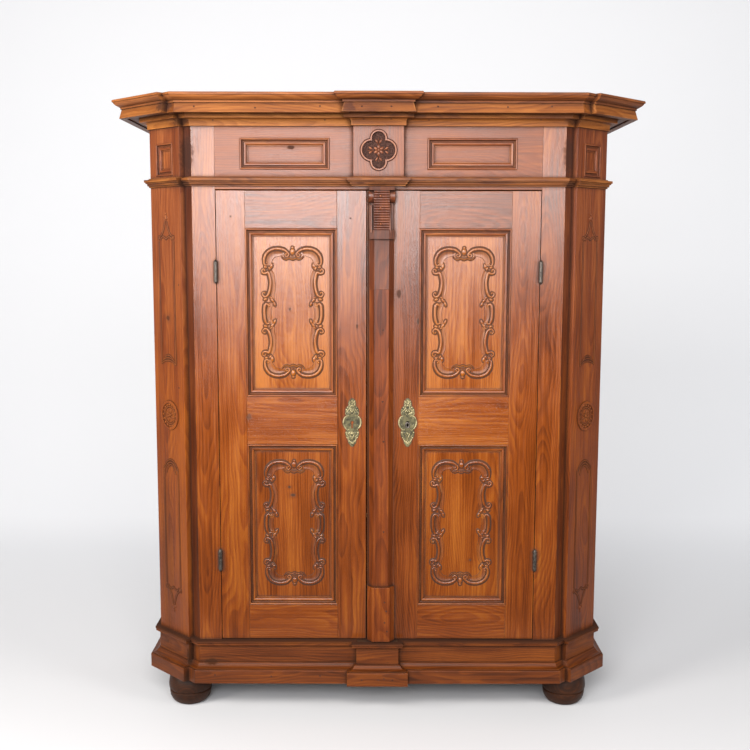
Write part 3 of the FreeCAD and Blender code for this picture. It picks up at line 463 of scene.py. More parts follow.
def make_knot_and_shade_group():
    """Each knot and each patch of painted shade: node, right and down in the picture, half width and half
    height in mm, strength.
    """
    group = new_group("knot_and_shade_marks", [("Vector", "Place", None)], ["Knot", "Halo"])
    w = Wiring(group)
    place = group.nodes.new("NodeGroupInput").outputs["Place"]
    outside = group.nodes.new("NodeGroupOutput").inputs
    ragged = w.swing(w.noise(place, 120.0, 2.0), 0.9)
    knot, halo = 0.0, 0.0
    for node, right, down, wide, tall, strength in knots_and_notch_shade:
        mark, _ = seen_on(node, right, down)
        if mark is None:
            print("no surface for the knot on", node)
            continue
        apart = w.add("VectorMath", {"operation": "SUBTRACT"})
        w.feed(apart.inputs[0], place)
        apart.inputs[1].default_value = mark
        scaled = w.scaled(apart.outputs[0], (1 / (wide * mm), 1 / knot_depth, 1 / (tall * mm)))
        length = w.add("VectorMath", {"operation": "LENGTH"}, Vector=scaled)
        reach = w.math("ADD", length.outputs["Value"], ragged)
        knot = w.math("MAXIMUM", knot, w.ramp(reach, 0.5, 1.1, strength, 0.0))
        halo = w.math("MAXIMUM", halo, w.ramp(reach, 0.9, 3.0, strength, 0.0))
    w.feed(outside["Knot"], knot)
    w.feed(outside["Halo"], halo)
    return group


knot_and_shade_group = make_knot_and_shade_group()
print("knot group with", len(knot_and_shade_group.nodes), "nodes")

# %% [markdown]
# ## Colour of the wood
#
# All the show wood is cherry, so one recipe of three tones serves it all. The tones could be
# painted as an image, but rings and streaks that pick them follow each board by themselves.
# Over them lie rubbed edges, specks, old wax with painted shade in the hollows, and knots
# with patches of painted shade at the notches. Painted shade also turns the lower doors a
# deeper orange, and the foot of the cabinet browner still.

# %% Lay the tones, the age and the painted shade over each other
ring_share = 0.26
streak_share = 1.05
blotch_share = 1.2
usual_tone = 0.58
tint_share = 0.13
pore_share = 0.24
rub_share = 0.35
speck_share = 0.8
wax_and_shade_share = 0.88
halo_share = 0.35
knot_and_shade_share = 0.85
rub_cast = (1.15, 1.3, 1.5)
speck_tone = (0.03, 0.012, 0.006, 1)
# The colour of the darkened hollows: old wax and painted shade.
wax_and_shade_tone = (0.03, 0.009, 0.004, 1)
knot_and_shade_tone = (0.026, 0.009, 0.005, 1)
# Painted shade: darker and more orange towards the bottom, and browner still at the foot.
low_shade_cast = (1.05, 0.88, 0.0, 1)
low_shade_heights = (0.95, 1.5)
foot_shade_cast = (0.30, 0.26, 0.26, 1)
foot_shade_heights = (0.15, 1.05)
foot_shade_share = 0.36


def toned(colour, cast):
    """A colour times a cast, as a node wants it."""
    return (*(part * share for part, share in zip(colour, cast)), 1)


def wood_tone(w, wood, tones, figure):
    """The three tones as the rings, streaks, blotches and pores of a board lay them out."""
    dark, middle, light = tones
    soft = w.math("MULTIPLY", wood["Figure"], ring_share * figure)
    streak = w.swing(wood["Streak"], streak_share * figure)
    blotch = w.swing(wood["Blotch"], blotch_share * figure)
    tone = w.math("ADD", w.math("SUBTRACT", w.math("ADD", blotch, usual_tone), soft), streak)
    tone = w.math("ADD", tone, w.math("MULTIPLY", w.attribute("tint"), tint_share), clamp=True)
    ramp = w.add("ValToRGB")
    ramp.color_ramp.elements[0].color = (*dark, 1)
    ramp.color_ramp.elements[1].color = (*light, 1)
    ramp.color_ramp.elements.new(0.5).color = (*middle, 1)
    w.feed(ramp.inputs[0], tone)
    return w.mix(w.math("MULTIPLY", wood["Pores"], pore_share), ramp.outputs[0], (*dark, 1))


def aged_and_shaded_tone(w, colour, tones, age, knots_and_shade, grime):
    """Rubbed edges, specks, old wax with painted shade in the hollows, and knots with painted shade at the
    notches, over a colour.
    """
    dark, _, light = tones
    rubbed = w.mix(w.math("MULTIPLY", age["Rub"], rub_share), colour, toned(light, rub_cast))
    spotted = w.mix(w.math("MULTIPLY", age["Specks"], speck_share), rubbed, speck_tone)
    waxed_and_shaded = w.mix(w.math("MULTIPLY", age["Dirt"], wax_and_shade_share * grime), spotted, wax_and_shade_tone)
    ringed = w.mix(w.math("MULTIPLY", knots_and_shade["Halo"], halo_share), waxed_and_shaded, (*dark, 1))
    return w.mix(w.math("MULTIPLY", knots_and_shade["Knot"], knot_and_shade_share), ringed, knot_and_shade_tone)


def shaded_below(w, colour, place, low_shade):
    """Painted shade by the height above the floor: darker and more orange on the lower doors, browner at the
    foot.
    """
    height = w.add("SeparateXYZ", Vector=place).outputs[2]
    ruddy = w.mix(w.ramp(height, *low_shade_heights, low_shade, 0.0), colour, low_shade_cast, "MULTIPLY")
    return w.mix(w.ramp(height, *foot_shade_heights, foot_shade_share, 0.0), ruddy, foot_shade_cast, "MULTIPLY")


print("tones from", usual_tone - blotch_share / 2, "to", usual_tone + blotch_share / 2)

# %% [markdown]
# ## Finishes of the wood
#
# The doors, the mouldings and the feet have aged differently, and the inside is plain
# softwood. Some finishes are lighter or darker copies of one wood that paint light and shade:
# the lit and shaded cornice, the dark corner boards in their notches, and the dark floor board
# under the doors. One function builds all the finishes, so that they stay one family. Besides
# the tones, each says how rough it is, how strong its figure and its darkening by old wax and
# painted shade are, how much wax lies over it as a clear coat, how much it shines, how far a
# hollow reaches for that darkening, and how strong the painted shade of its lower part is.

# %% Mix a wood finish
coat_roughness = 0.23
bump_strength = 0.45
bump_distance = 0.0012


def wood_sheen(w, shader, wood, age, knots_and_shade, gloss, wax):
    """Roughness and wax, both duller where the hollows are darkened, and on the knots and the patches of
    painted shade.
    """
    unwaxed = w.math("MAXIMUM", age["Dirt"], knots_and_shade["Knot"])
    rough = w.ramp(wood["Blotch"], 0.3, 0.7, gloss - 0.04, gloss + 0.06)
    rough = w.math("ADD", rough, w.swing(wood["Streak"], 0.22))
    rough = w.math("ADD", rough, w.math("MULTIPLY", unwaxed, 0.5))
    w.feed(shader.inputs["Roughness"], rough)
    w.feed(shader.inputs["Coat Weight"], w.ramp(unwaxed, 0.0, 0.6, wax, 0.0))
    shader.inputs["Coat Roughness"].default_value = coat_roughness


def wood_relief(w, shader, wood, age):
    """Fine streaks, dents and pores in the surface."""
    height = w.math("ADD", w.math("MULTIPLY", wood["Streak"], 0.4), w.math("MULTIPLY", age["Dents"], 0.6))
    height = w.math("SUBTRACT", height, w.math("MULTIPLY", wood["Pores"], 0.12))
    bump = w.add("Bump", Height=height, Strength=bump_strength, Distance=bump_distance)
    w.feed(shader.inputs["Normal"], bump.outputs[0])


def wood_finish(name, gloss=0.26, figure=1.0, grime=1.0, wax=0.2, shine=0.4, reach=hollow_reach, low_shade=0.8):
    material, shader, w = new_material(name)
    tones = wood_tones[name]
    place = w.add("TexCoord").outputs["Object"]
    wood = w.add("Group", {"node_tree": grain_group}, Grain=w.attribute("grain", "Vector")).outputs
    age = age_and_shade_marks(w, place, reach)
    knots_and_shade = w.add("Group", {"node_tree": knot_and_shade_group}, Place=place).outputs
    colour = aged_and_shaded_tone(w, wood_tone(w, wood, tones, figure), tones, age, knots_and_shade, grime)
    w.feed(shader.inputs["Base Color"], shaded_below(w, colour, place, low_shade))
    wood_sheen(w, shader, wood, age, knots_and_shade, gloss, wax)
    wood_relief(w, shader, wood, age)
    shader.inputs["Specular IOR Level"].default_value = shine
    return material


print("coat roughness", coat_roughness, "and relief", bump_distance, "m")

# %% Choose the tones: dark, middle and light
wood_tones = {
    "waxed_case": ((0.066, 0.014, 0.003), (0.172, 0.041, 0.0075), (0.29, 0.094, 0.019)),
    "waxed_panels": ((0.07, 0.015, 0.004), (0.185, 0.046, 0.009), (0.31, 0.104, 0.023)),
    "waxed_mouldings": ((0.055, 0.012, 0.003), (0.170, 0.042, 0.009), (0.30, 0.095, 0.020)),
    "waxed_pilaster": ((0.050, 0.010, 0.003), (0.145, 0.032, 0.007), (0.26, 0.075, 0.018)),
    "dark_base": ((0.032, 0.008, 0.002), (0.112, 0.027, 0.006), (0.21, 0.060, 0.014)),
    "shaded_corner": ((0.025, 0.005, 0.002), (0.075, 0.016, 0.004), (0.14, 0.036, 0.009)),
    "worn_feet": ((0.011, 0.004, 0.003), (0.030, 0.009, 0.006), (0.075, 0.023, 0.014)),
    "plain_softwood": ((0.30, 0.16, 0.07), (0.45, 0.28, 0.13), (0.56, 0.38, 0.20)),
    "lit_cornice": ((0.060, 0.014, 0.003), (0.190, 0.056, 0.009), (0.31, 0.110, 0.022)),
    "shaded_crown": ((0.055, 0.013, 0.003), (0.170, 0.046, 0.009), (0.32, 0.105, 0.024)),
    "lit_bed": ((0.085, 0.021, 0.004), (0.265, 0.080, 0.012), (0.43, 0.155, 0.030)),
    "dull_frieze": ((0.066, 0.014, 0.003), (0.165, 0.040, 0.0085), (0.28, 0.090, 0.020)),
    "shaded_floor_board": ((0.020, 0.008, 0.004), (0.055, 0.024, 0.011), (0.11, 0.055, 0.026)),
    "dark_console": ((0.030, 0.006, 0.002), (0.096, 0.021, 0.006), (0.20, 0.055, 0.014))}
print(len(wood_tones), "sets of tones")

# %% Mix the wood finishes
finish_of = {
    "case_wood": wood_finish("waxed_case"),
    "panel_wood": wood_finish("waxed_panels"),
    "moulding_wood": wood_finish("waxed_mouldings", gloss=0.36, grime=1.1, wax=0.1, shine=0.34, reach=0.02),
    "pilaster_wood": wood_finish("waxed_pilaster", gloss=0.42, wax=0.0, shine=0.25, reach=0.018),
    "base_wood": wood_finish("dark_base", gloss=0.48, wax=0.0, shine=0.22, reach=0.02),
    # The corner boards lie in the notches of the canted corners; their dark tone paints the shade there.
    "corner_wood": wood_finish("shaded_corner", gloss=0.48, wax=0.0, shine=0.25),
    "foot_wood": wood_finish("worn_feet", gloss=0.5, figure=0.8, grime=0.8, wax=0.0, shine=0.2),
    "inner_wood": wood_finish("plain_softwood", gloss=0.62, figure=0.8, grime=0.5, wax=0.0, low_shade=0.0)}
cornice_sheen = {"gloss": 0.5, "wax": 0.0, "shine": 0.22, "reach": 0.02}
# The cornice takes lit and shaded copies of one wood, whose tones paint the light and shade that fall on its
# parts.
lit_cornice_finish = wood_finish("lit_cornice", **cornice_sheen)
shaded_crown_finish = wood_finish("shaded_crown", **cornice_sheen)
lit_bed_finish = wood_finish("lit_bed", **cornice_sheen)
frieze_finish = wood_finish("dull_frieze", gloss=0.36, figure=0.7, wax=0.1, shine=0.34, reach=0.018)
# The floor board shows only in the gap under the doors; its dark tone paints the shade there.
floor_board_shade_finish = wood_finish("shaded_floor_board", gloss=0.6, wax=0.0, shine=0.2, low_shade=0.0)
console_finish = wood_finish("dark_console", gloss=0.34, wax=0.05, shine=0.3)
finish_for = {
    "cornice_boards": shaded_crown_finish, "crown_moulding": shaded_crown_finish, "cornice_fascia": lit_cornice_finish,
    "bed_moulding": lit_bed_finish, "architrave_moulding": lit_cornice_finish, "frieze_rail": frieze_finish,
    "frieze_block": frieze_finish, "frieze_mouldings": frieze_finish, "quatrefoil_medallion": frieze_finish,
    "pilaster_console": console_finish, "floor_board": floor_board_shade_finish}
print("wood finishes", list(finish_of), "and", len(set(finish_for.values())), "for single nodes")

# %% [markdown]
# ## Iron and brass
#
# The hinges, lock and bolts are forged iron, nearly black, with a few bright rubs. The key
# plates are thin cast brass that has gone dull and greenish in the hollows. Both share the
# age group with the wood, with a shorter reach, because their hollows are finer.

# %% Mix the metal finishes
metal_reach = 0.005
hollow_cast = (0.3, 0.33, 0.3)
bright_cast = (1.5, 1.5, 1.5)


def metal_finish(name, dark, light, rough, metallic, scale):
    material, shader, w = new_material(name)
    place = w.add("TexCoord").outputs["Object"]
    age = age_and_shade_marks(w, place, metal_reach)
    cloud = w.noise(place, scale, 4.0)
    fine = w.noise(place, scale * 9, 2.0)
    base = w.mix(w.ramp(cloud, 0.35, 0.65), (*dark, 1), (*light, 1))
    dull = w.mix(w.math("MULTIPLY", age["Dirt"], 0.85), base, toned(dark, hollow_cast))
    bright = w.mix(w.math("MULTIPLY", age["Rub"], 0.5), dull, toned(light, bright_cast))
    w.feed(shader.inputs["Base Color"], bright)
    w.feed(shader.inputs["Roughness"], w.ramp(cloud, 0.3, 0.7, rough - 0.08, rough + 0.12))
    w.feed(shader.inputs["Metallic"], w.ramp(age["Dirt"], 0.0, 1.0, metallic, metallic * 0.4))
    height = w.math("ADD", w.math("MULTIPLY", fine, 0.3), cloud)
    bump = w.add("Bump", Height=height, Strength=0.3, Distance=0.0008)
    w.feed(shader.inputs["Normal"], bump.outputs[0])
    return material


finish_of["iron"] = metal_finish("forged_iron", (0.048, 0.040, 0.034), (0.088, 0.074, 0.063),
                                 rough=0.4, metallic=0.75, scale=130.0)
finish_of["brass"] = metal_finish("tarnished_brass", (0.028, 0.025, 0.011), (0.098, 0.085, 0.037),
                                  rough=0.5, metallic=0.4, scale=90.0)
bright_brass = metal_finish("rubbed_brass", (0.13, 0.11, 0.05), (0.38, 0.32, 0.17),
                            rough=0.42, metallic=0.5, scale=90.0)
print("all finishes", sorted(finish_of))

# %% [markdown]
# ## From packed solid to board
#
# A packed node is loose triangles, and one node can hold several boards, such as the
# lengths of a mitred moulding. The triangles of a board follow each other, so a board ends
# where every edge has met its neighbour. Each board is merged and eased on its own, which
# keeps the fine joint lines between boards. A modifier could bevel the whole node, but it
# would have to guess where one board ends.

# %% Split a node into its boards
merge_distance = 1e-6


def board_ranges(mesh):
    """Runs of faces that close on themselves: one run for each board."""
    places = [tuple(round(c / merge_distance) for c in v.co) for v in mesh.vertices]
    waiting, runs, start = set(), [], 0
    for face in mesh.polygons:
        corners = [places[i] for i in face.vertices]
        for a, b in zip(corners, corners[1:] + corners[:1]):
            if (b, a) in waiting:
                waiting.discard((b, a))
            else:
                waiting.add((a, b))
        if not waiting:
            runs.append((start, face.index + 1))
            start = face.index + 1
    if start < len(mesh.polygons):
        return [(0, len(mesh.polygons))]
    return runs


def boards_of(mesh):
    """One bmesh in which every board is its own merged island."""
    shape = bmesh.new()
    shape.from_mesh(mesh)
    shape.faces.ensure_lookup_table()
    groups = [[shape.faces[i] for i in range(*run)] for run in board_ranges(mesh)]
    for group in groups:
        cut = bmesh.ops.split(shape, geom=group)["geom"]
        corners = [g for g in cut if isinstance(g, bmesh.types.BMVert)]
        bmesh.ops.remove_doubles(shape, verts=corners, dist=merge_distance)
    return shape


def islands(shape):
    """Lists of vertices that hang together."""
    seen, found = set(), []
    for start in shape.verts:
        if start in seen:
            continue
        island, todo = [], [start]
        seen.add(start)
        while todo:
            v = todo.pop()
            island.append(v)
            for edge in v.link_edges:
                other = edge.other_vert(v)
                if other not in seen:
                    seen.add(other)
                    todo.append(other)
        found.append(island)
    return found


print("boards in the crown:", len(board_ranges(nodes["crown_moulding"].data)))

# %% [markdown]
# ## Grain for each board
#
# The longest way through a board is the way its grain runs. The heart of the tree is put
# at a random distance behind each board or in front of it, and each board is a little lighter
# or darker than the next. The random numbers start from a fixed seed, so every run gives the
# same cabinet.

# %% Give a board its grain
luck = random.Random(11)
log_length = 40
heart_aside = 0.5
heart_behind = (0.02, 0.07)
upright = 0.9
grain_frames = {}


def long_axis(points):
    """Middle of the points and the way in which they spread most, by squaring their spread."""
    centre = sum(points, Vector()) / len(points)
    spread = Matrix(((0, 0, 0), (0, 0, 0), (0, 0, 0)))
    for p in points:
        d = p - centre
        spread += Matrix((d * d.x, d * d.y, d * d.z))
    trace = spread[0][0] + spread[1][1] + spread[2][2]
    spread *= 1 / max(trace, 1e-12)
    for _ in range(12):
        spread = spread @ spread
        spread *= 1 / max(spread[0][0] + spread[1][1] + spread[2][2], 1e-30)
    axis = max((spread.col[i] for i in range(3)), key=lambda c: c.length)
    return centre, axis.normalized()


def grain_frame(points):
    """The ways along, across and through a board, its place in the log and its tint."""
    centre, along = long_axis(points)
    if abs(along.z) > upright:
        along = Vector((0, 0, 1))
    depth = Vector((0, 1, 0)) if abs(along.y) < upright else Vector((0, 0, 1))
    across = depth.cross(along).normalized()
    depth = along.cross(across).normalized()
    widths = [max(p.dot(axis) for p in points) - min(p.dot(axis) for p in points) for axis in (across, depth)]
    if widths[0] < widths[1]:
        across, depth = depth, across
    start = luck.uniform(0, log_length)
    aside = luck.uniform(-heart_aside, heart_aside) * max(widths)
    behind = luck.choice((-1, 1)) * luck.uniform(*heart_behind)
    return {"centre": centre, "axes": (along, across, depth), "shift": Vector((start, aside, behind)),
            "tint": luck.uniform(-1, 1)}


def add_layers(shape):
    """The attributes that the finishes read; made first, because they renew every vertex."""
    shape.verts.layers.float_vector.new("grain")
    shape.verts.layers.float.new("tint")
    shape.verts.layers.float.new("grime")


def paint_grain(shape, verts, setting):
    grain = shape.verts.layers.float_vector["grain"]
    tint = shape.verts.layers.float["tint"]
    for v in verts:
        place = v.co - setting["centre"]
        v[grain] = Vector([place.dot(axis) for axis in setting["axes"]]) + setting["shift"]
        v[tint] = setting["tint"]


print("the heart lies", heart_behind, "m off the middle of a board")

# %% [markdown]
# ## Ease the edges and dress the node
#
# No joiner leaves a knife edge, and the plane, the wax and many hands round every corner.
# The sharp edges of each board are bevelled by a millimetre or so, so that they catch the
# light. The dressed copy stands for the packed node and rides on the same body. A tint for
# some boards comes from the photograph; on the cornice the tints for left, middle and right
# also paint the light from the left and the shade in the middle. Bands of painted shade,
# where shadow falls on the console and under the doors, come from the photograph too.

# %% Choose tints and bands of painted shade
ease = {"case_wood": 1.3 * mm, "panel_wood": 1.3 * mm, "inner_wood": 0.6 * mm, "iron": 0.35 * mm,
        "brass": 0.3 * mm}
usual_ease = 0.9 * mm
centre_half = 0.2
# Three tints, for left, middle and right, also paint light and shade: on the cornice, the light from the left
# and the shade in the middle.
board_tints_and_side_light = {
    "crown_moulding": (3.0, -0.5, -1.2), "cornice_fascia": (0.4, -2.3, 0.2), "bed_moulding": (1.8, -1.0, 0.2),
    "architrave_moulding": (-0.2, -0.8, -0.2), "plinth_band": (0.2, 1.6, 0.2), "base_frame": (0.0, 0.4, 1.0),
    "frieze_block": (-1.6,), "front_stile_left": (-0.2,), "front_stile_right": (-0.5,),
    "left_door_hinge_stile": (0.6,), "left_door_lock_stile": (-1.0,), "left_door_top_rail": (-1.5,),
    "left_door_middle_rail": (1.0,), "left_door_bottom_rail": (0.5,), "left_door_upper_panel": (2.2,),
    "left_door_lower_panel": (-0.6,), "right_door_hinge_stile": (0.1,), "right_door_lock_stile": (-1.4,),
    "right_door_top_rail": (-1.0,), "right_door_middle_rail": (1.2,), "right_door_upper_panel": (1.6,),
    "right_door_lower_panel": (0.4,), "corner_pilaster_left": (1.2,)}


def shade_band_on(node, start, end, amount):
    """A band of painted shade, from start to end millimetres below the top of a node."""
    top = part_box(node)[1][2]
    return (top - end * mm, top - start * mm, amount)


# Painted shade: the architrave's shadow on the top of the console, a fainter band on the console's foot, and
# the shadow under the doors on the base moulding.
shade_bands = {"pilaster_console": [shade_band_on("pilaster_console", 0, 11, 0.6),
                               shade_band_on("pilaster_console", 126.5, 153.5, 0.35)],
          "base_top_moulding": [shade_band_on("base_top_moulding", -1, 5, 0.9)]}
print("tints for", len(board_tints_and_side_light), "nodes, stains on", list(shade_bands))

# %% Dress every board
sharp_angle = math.radians(28)
smooth_angle = math.radians(24)
flat_angle = math.radians(0.4)


def finish_piece(shape, name, body, slot, replaced=(), finish=None, smooth_from=smooth_angle):
    """Writes a bmesh to an object at the origin, with its finish and its body."""
    mesh = bpy.data.meshes.new(name)
    shape.to_mesh(mesh)
    shape.free()
    mesh.shade_smooth()
    mesh.set_sharp_from_angle(angle=smooth_from)
    mesh.materials.clear()
    mesh.materials.append(finish or finish_of[slot])
    piece = bpy.data.objects.new(name, mesh)
    bpy.context.scene.collection.objects.link(piece)
    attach(piece, body)
    if replaced:
        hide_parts(*replaced)
    return piece


def ease_edges(shape, width):
    """Joins flat triangles to faces and bevels every sharp edge."""
    bmesh.ops.dissolve_degenerate(shape, dist=merge_distance, edges=shape.edges)
    bmesh.ops.dissolve_limit(shape, angle_limit=flat_angle, use_dissolve_boundaries=False,
                             verts=shape.verts, edges=shape.edges, delimit=set())
    sharp = [e for e in shape.edges if len(e.link_faces) == 2 and e.calc_face_angle(0) > sharp_angle]
    bmesh.ops.bevel(shape, geom=sharp, offset=width, offset_type="OFFSET", segments=2, profile=0.5,
                    affect="EDGES", clamp_overlap=True, material=-1)


def tint_for(node, x, tint):
    """The tint of a board at x; three tints are for the left, the centre and the right."""
    tints = board_tints_and_side_light.get(node, (tint,))
    return tints[(x > -centre_half) + (x > centre_half)] if len(tints) == 3 else tints[0]


def dress(node):
    slot = slot_of[node]
    shape = boards_of(nodes[node].data)
    add_layers(shape)
    ease_edges(shape, ease.get(slot, usual_ease))
    grime = shape.verts.layers.float["grime"]
    for island in islands(shape):
        setting = grain_frame([v.co for v in island])
        setting["tint"] = tint_for(node, setting["centre"].x, setting["tint"])
        grain_frames.setdefault(node, setting)
        paint_grain(shape, island, setting)
        for low, high, amount in shade_bands.get(node, ()):
            for v in island:
                if low < v.co.z < high:
                    v[grime] = amount
    piece = finish_piece(shape, "dressed_" + node, body_of[node], slot, (node,), finish_for.get(node))
    piece.modifiers.new("flat_boards_stay_flat", "WEIGHTED_NORMAL").keep_sharp = True


for node in sorted(nodes):
    dress(node)
print("dressed", len(nodes), "nodes")

# %% [markdown]
# ## Carved lines
#
# The carver drew the cartouches with a gouge that followed a curve, so each carved line is
# one section drawn along a path. A curve object with a bevel would do that too, but it
# cannot say that the flanks of the line are darker than its crest, with old wax and the
# painted shade of a cut groove. Here the section starts as a chain of edges and is extruded
# from place to place, and every point of it carries its own darkening.

# %% Choose the sections


def both_sides(half):
    """A row of points with its mirror image; a point on the middle line isn't doubled."""
    return [(-x, *rest) for x, *rest in reversed(half) if x] + half


# The third number of a point darkens it: old wax, and painted shade in grooves and hollows.
strap_section = both_sides([(0, 3.3, 0.0), (2.2, 2.8, 0.1), (3.7, 1.5, 0.8), (4.3, 0.2, 1.0), (8.0, 0.1, 1.0),
                            (8.6, -0.5, 0.6)])
vein_section = [(-4.6, -0.4, 0.7), (-4.1, 0.2, 1.0), (-1.9, 0.3, 1.0), (-1.0, 1.3, 0.35), (0.3, 1.6, 0.2),
                (1.3, 1.1, 0.35), (2.1, 0.3, 1.0), (4.1, 0.2, 1.0), (4.6, -0.4, 0.7)]
hollow_section = [(-1.0, -0.3, 0.9), (-0.85, 1.9, 0.45), (-0.4, 0.9, 0.38), (0.1, 0.6, 0.26),
                  (0.55, 1.3, 0.12), (0.74, 1.4, 0.1), (0.82, 0.2, 1.0), (1.0, -0.4, 0.9)]
rail_section = both_sides([(1.4, 2.0, 0.0), (2.8, 1.0, 0.7), (3.4, -0.5, 0.9)])
rib_section = both_sides([(0, 1.5, 0.0), (1.2, 0.9, 0.0), (1.7, -0.3, 0.4)])
rim_shade_section = both_sides([(1.1, 0.35, 1.0), (1.5, -0.3, 1.0)])
seam_shade_section = [(-3.0, -1.4, 1.0), (-2.6, -0.3, 1.0), (-1.7, 0.4, 1.0), (1.7, 0.4, 1.0), (2.0, -0.3, 1.0)]
print("sections of", len(strap_section), len(vein_section), len(hollow_section), "points: across, out, grime")

# %% Lay out a path


def carving_ground(origin, right=(1, 0, 0)):
    """The plane that a carving lies on: where it starts and its ways right, up and out."""
    right = Vector(right).normalized()
    out = right.cross(Vector((0, 0, 1)))
    if out.y > 0:
        out.negate()
    return {"origin": Vector(origin), "right": right, "up": Vector((0, 0, 1)), "out": out}


def ground_at(place, out):
    """A carving ground that touches a surface, whichever way it leans."""
    up = (Vector((0, 0, 1)) - out * out.z).normalized()
    return {"origin": place, "right": up.cross(out), "up": up, "out": out}


def spot(ground, x, z, height=0.0):
    return ground["origin"] + (ground["right"] * x + ground["up"] * z + ground["out"] * height) * mm


def flipped(points, right, up):
    return [(right * x, up * z) for x, z in points]


def circle(x, z, wide, tall, count):
    """Points round an ellipse."""
    turns = [i * 2 * math.pi / count for i in range(count)]
    return [(x + wide * math.cos(a), z + tall * math.sin(a)) for a in turns]


def smooth(points, step=2.5, closed=False):
    """Places about a step apart on a soft curve through the points."""
    posts = [Vector(p) for p in points]
    if closed:
        padded = [posts[-1], *posts, posts[0], posts[1]]
    else:
        padded = [posts[0] * 2 - posts[1], *posts, posts[-1] * 2 - posts[-2]]
    path = []
    for a, b, c, d in zip(padded, padded[1:], padded[2:], padded[3:]):
        count = max(1, round((c - b).length / step))
        for t in (i / count for i in range(count)):
            path.append(0.5 * (2 * b + (c - a) * t + (2 * a - 5 * b + 4 * c - d) * t * t
                               + (3 * b - a - 3 * c + d) * t * t * t))
    return path if closed else path + [posts[-1]]


def spread(values, count):
    """The values stretched evenly over so many places."""
    stretched = []
    for i in range(count):
        t = i / max(count - 1, 1) * (len(values) - 1)
        k = min(int(t), len(values) - 2)
        stretched.append(values[k] + (values[k + 1] - values[k]) * (t - k))
    return stretched


print("a soft curve over 10 mm has", len(smooth([(0, 0), (10, 0)])), "places")

# %% Draw a section along a path


def path_way(places, i, closed):
    """Way of a path at a place, and how far a bend there narrows its section."""
    place = places[i]
    before = places[i - 1] if i else (places[-2] if closed else place)
    after = places[i + 1] if i + 1 < len(places) else (places[1] if closed else place)
    ways = [way.normalized() for way in (place - before, after - place) if way.length > 1e-9]
    way = sum(ways, Vector()).normalized()
    return way, max(way.dot(ways[0]), 0.5)


def side_towards(places, out, target):
    """1 or -1, for the side of a path that faces the target."""
    middle = len(places) // 2
    run = places[middle + 1] - places[middle - 1]
    return 1 if out.cross(run).dot(target - places[middle]) > 0 else -1


def next_section(shape, chain, ring):
    """Extrudes a chain of edges and gives back the new chain with its vertices in order."""
    grown = bmesh.ops.extrude_edge_only(shape, edges=chain)["geom"]
    order = {v: i for i, v in enumerate(ring)}
    following = list(ring)
    fresh = {g for g in grown if isinstance(g, bmesh.types.BMVert)}
    for v in fresh:
        for edge in v.link_edges:
            if edge.other_vert(v) in order:
                following[order[edge.other_vert(v)]] = v
    return [g for g in grown if isinstance(g, bmesh.types.BMEdge) and set(g.verts) <= fresh], following


def join_in(shape, part):
    """Adds one finished bmesh to another; small ones grow much faster than one large one."""
    carrier = bpy.data.meshes.new("carrier")
    part.to_mesh(carrier)
    part.free()
    shape.from_mesh(carrier)
    bpy.data.meshes.remove(carrier)


def draw(shape, ground, path, section, widths=(1, 1), heights=(1, 1), toward=None, closed=False):
    """Draws a section along a path on a ground; toward is a point that its positive half faces."""
    strand = bmesh.new()
    add_layers(strand)
    grime = strand.verts.layers.float["grime"]
    out = ground["out"]
    places = [spot(ground, *p) for p in path]
    wide, tall = spread(widths, len(places)), spread(heights, len(places))
    if closed:
        places, wide, tall = places + places[:1], wide + wide[:1], tall + tall[:1]
    sign = 1 if toward is None else side_towards(places, out, spot(ground, *toward))
    chain, ring = [], []
    for i, place in enumerate(places):
        way, narrowing = path_way(places, i, closed)
        side = out.cross(way) / narrowing
        stops = [place + (side * across * sign * wide[i] + out * high * tall[i]) * mm
                 for across, high, _ in section]
        if not ring:
            ring = [strand.verts.new(stop) for stop in stops]
            chain = [strand.edges.new(pair) for pair in zip(ring, ring[1:])]
        else:
            chain, ring = next_section(strand, chain, ring)
        for v, stop, (_, _, dirt_and_shade) in zip(ring, stops, section):
            v.co = stop
            v[grime] = dirt_and_shade
    bmesh.ops.recalc_face_normals(strand, faces=strand.faces)
    if sum((f.normal * f.calc_area() for f in strand.faces), Vector()).dot(out) < 0:
        bmesh.ops.reverse_faces(strand, faces=strand.faces)
    join_in(shape, strand)


print("lines are drawn with", draw.__name__)

# %% [markdown]
# ## Carved lumps
#
# Leaves, eyes, buds and beads are small rounded lumps between the lines. Each starts as a
# ball that is flattened on its ground. Its foot is dark with old wax and painted shade in
# the corner round it, and a knob also stands on a low dark disc of its own, which paints
# the shade round its foot.

# %% Set lumps and finish a carving
carving_angle = math.radians(50)
foot_part = 0.25
foot_dirt_and_shade = 0.75


def boss(shape, ground, x, z, sizes, turn=0.0, height=0.0, dirt_and_shade=0.0):
    """A rounded lump with half sizes along, across and out of the ground."""
    angle = math.radians(turn)
    along = ground["right"] * math.cos(angle) + ground["up"] * math.sin(angle)
    out = ground["out"]
    axes = [way * size * mm for way, size in zip((along, out.cross(along), out), sizes)]
    place = Matrix.Translation(spot(ground, x, z, height)) @ Matrix(axes).transposed().to_4x4()
    lump = bmesh.new()
    add_layers(lump)
    grime = lump.verts.layers.float["grime"]
    bmesh.ops.create_uvsphere(lump, u_segments=14, v_segments=8, radius=1.0, matrix=place)
    for v in lump.verts:
        low = (v.co - place.translation).dot(out) < sizes[2] * foot_part * mm
        v[grime] = max(dirt_and_shade, foot_dirt_and_shade if low else 0.0)
    join_in(shape, lump)


def ring_of_bosses(shape, ground, x, z, radius, count, sizes, start=0.0, height=0.0, dirt_and_shade=0.0):
    """Lumps round a middle, each turned outwards; start is a share of the way to the next."""
    for i in range(count):
        angle = (i + start) * 2 * math.pi / count
        boss(shape, ground, x + radius * math.cos(angle), z + radius * math.sin(angle), sizes,
             math.degrees(angle), height, dirt_and_shade)


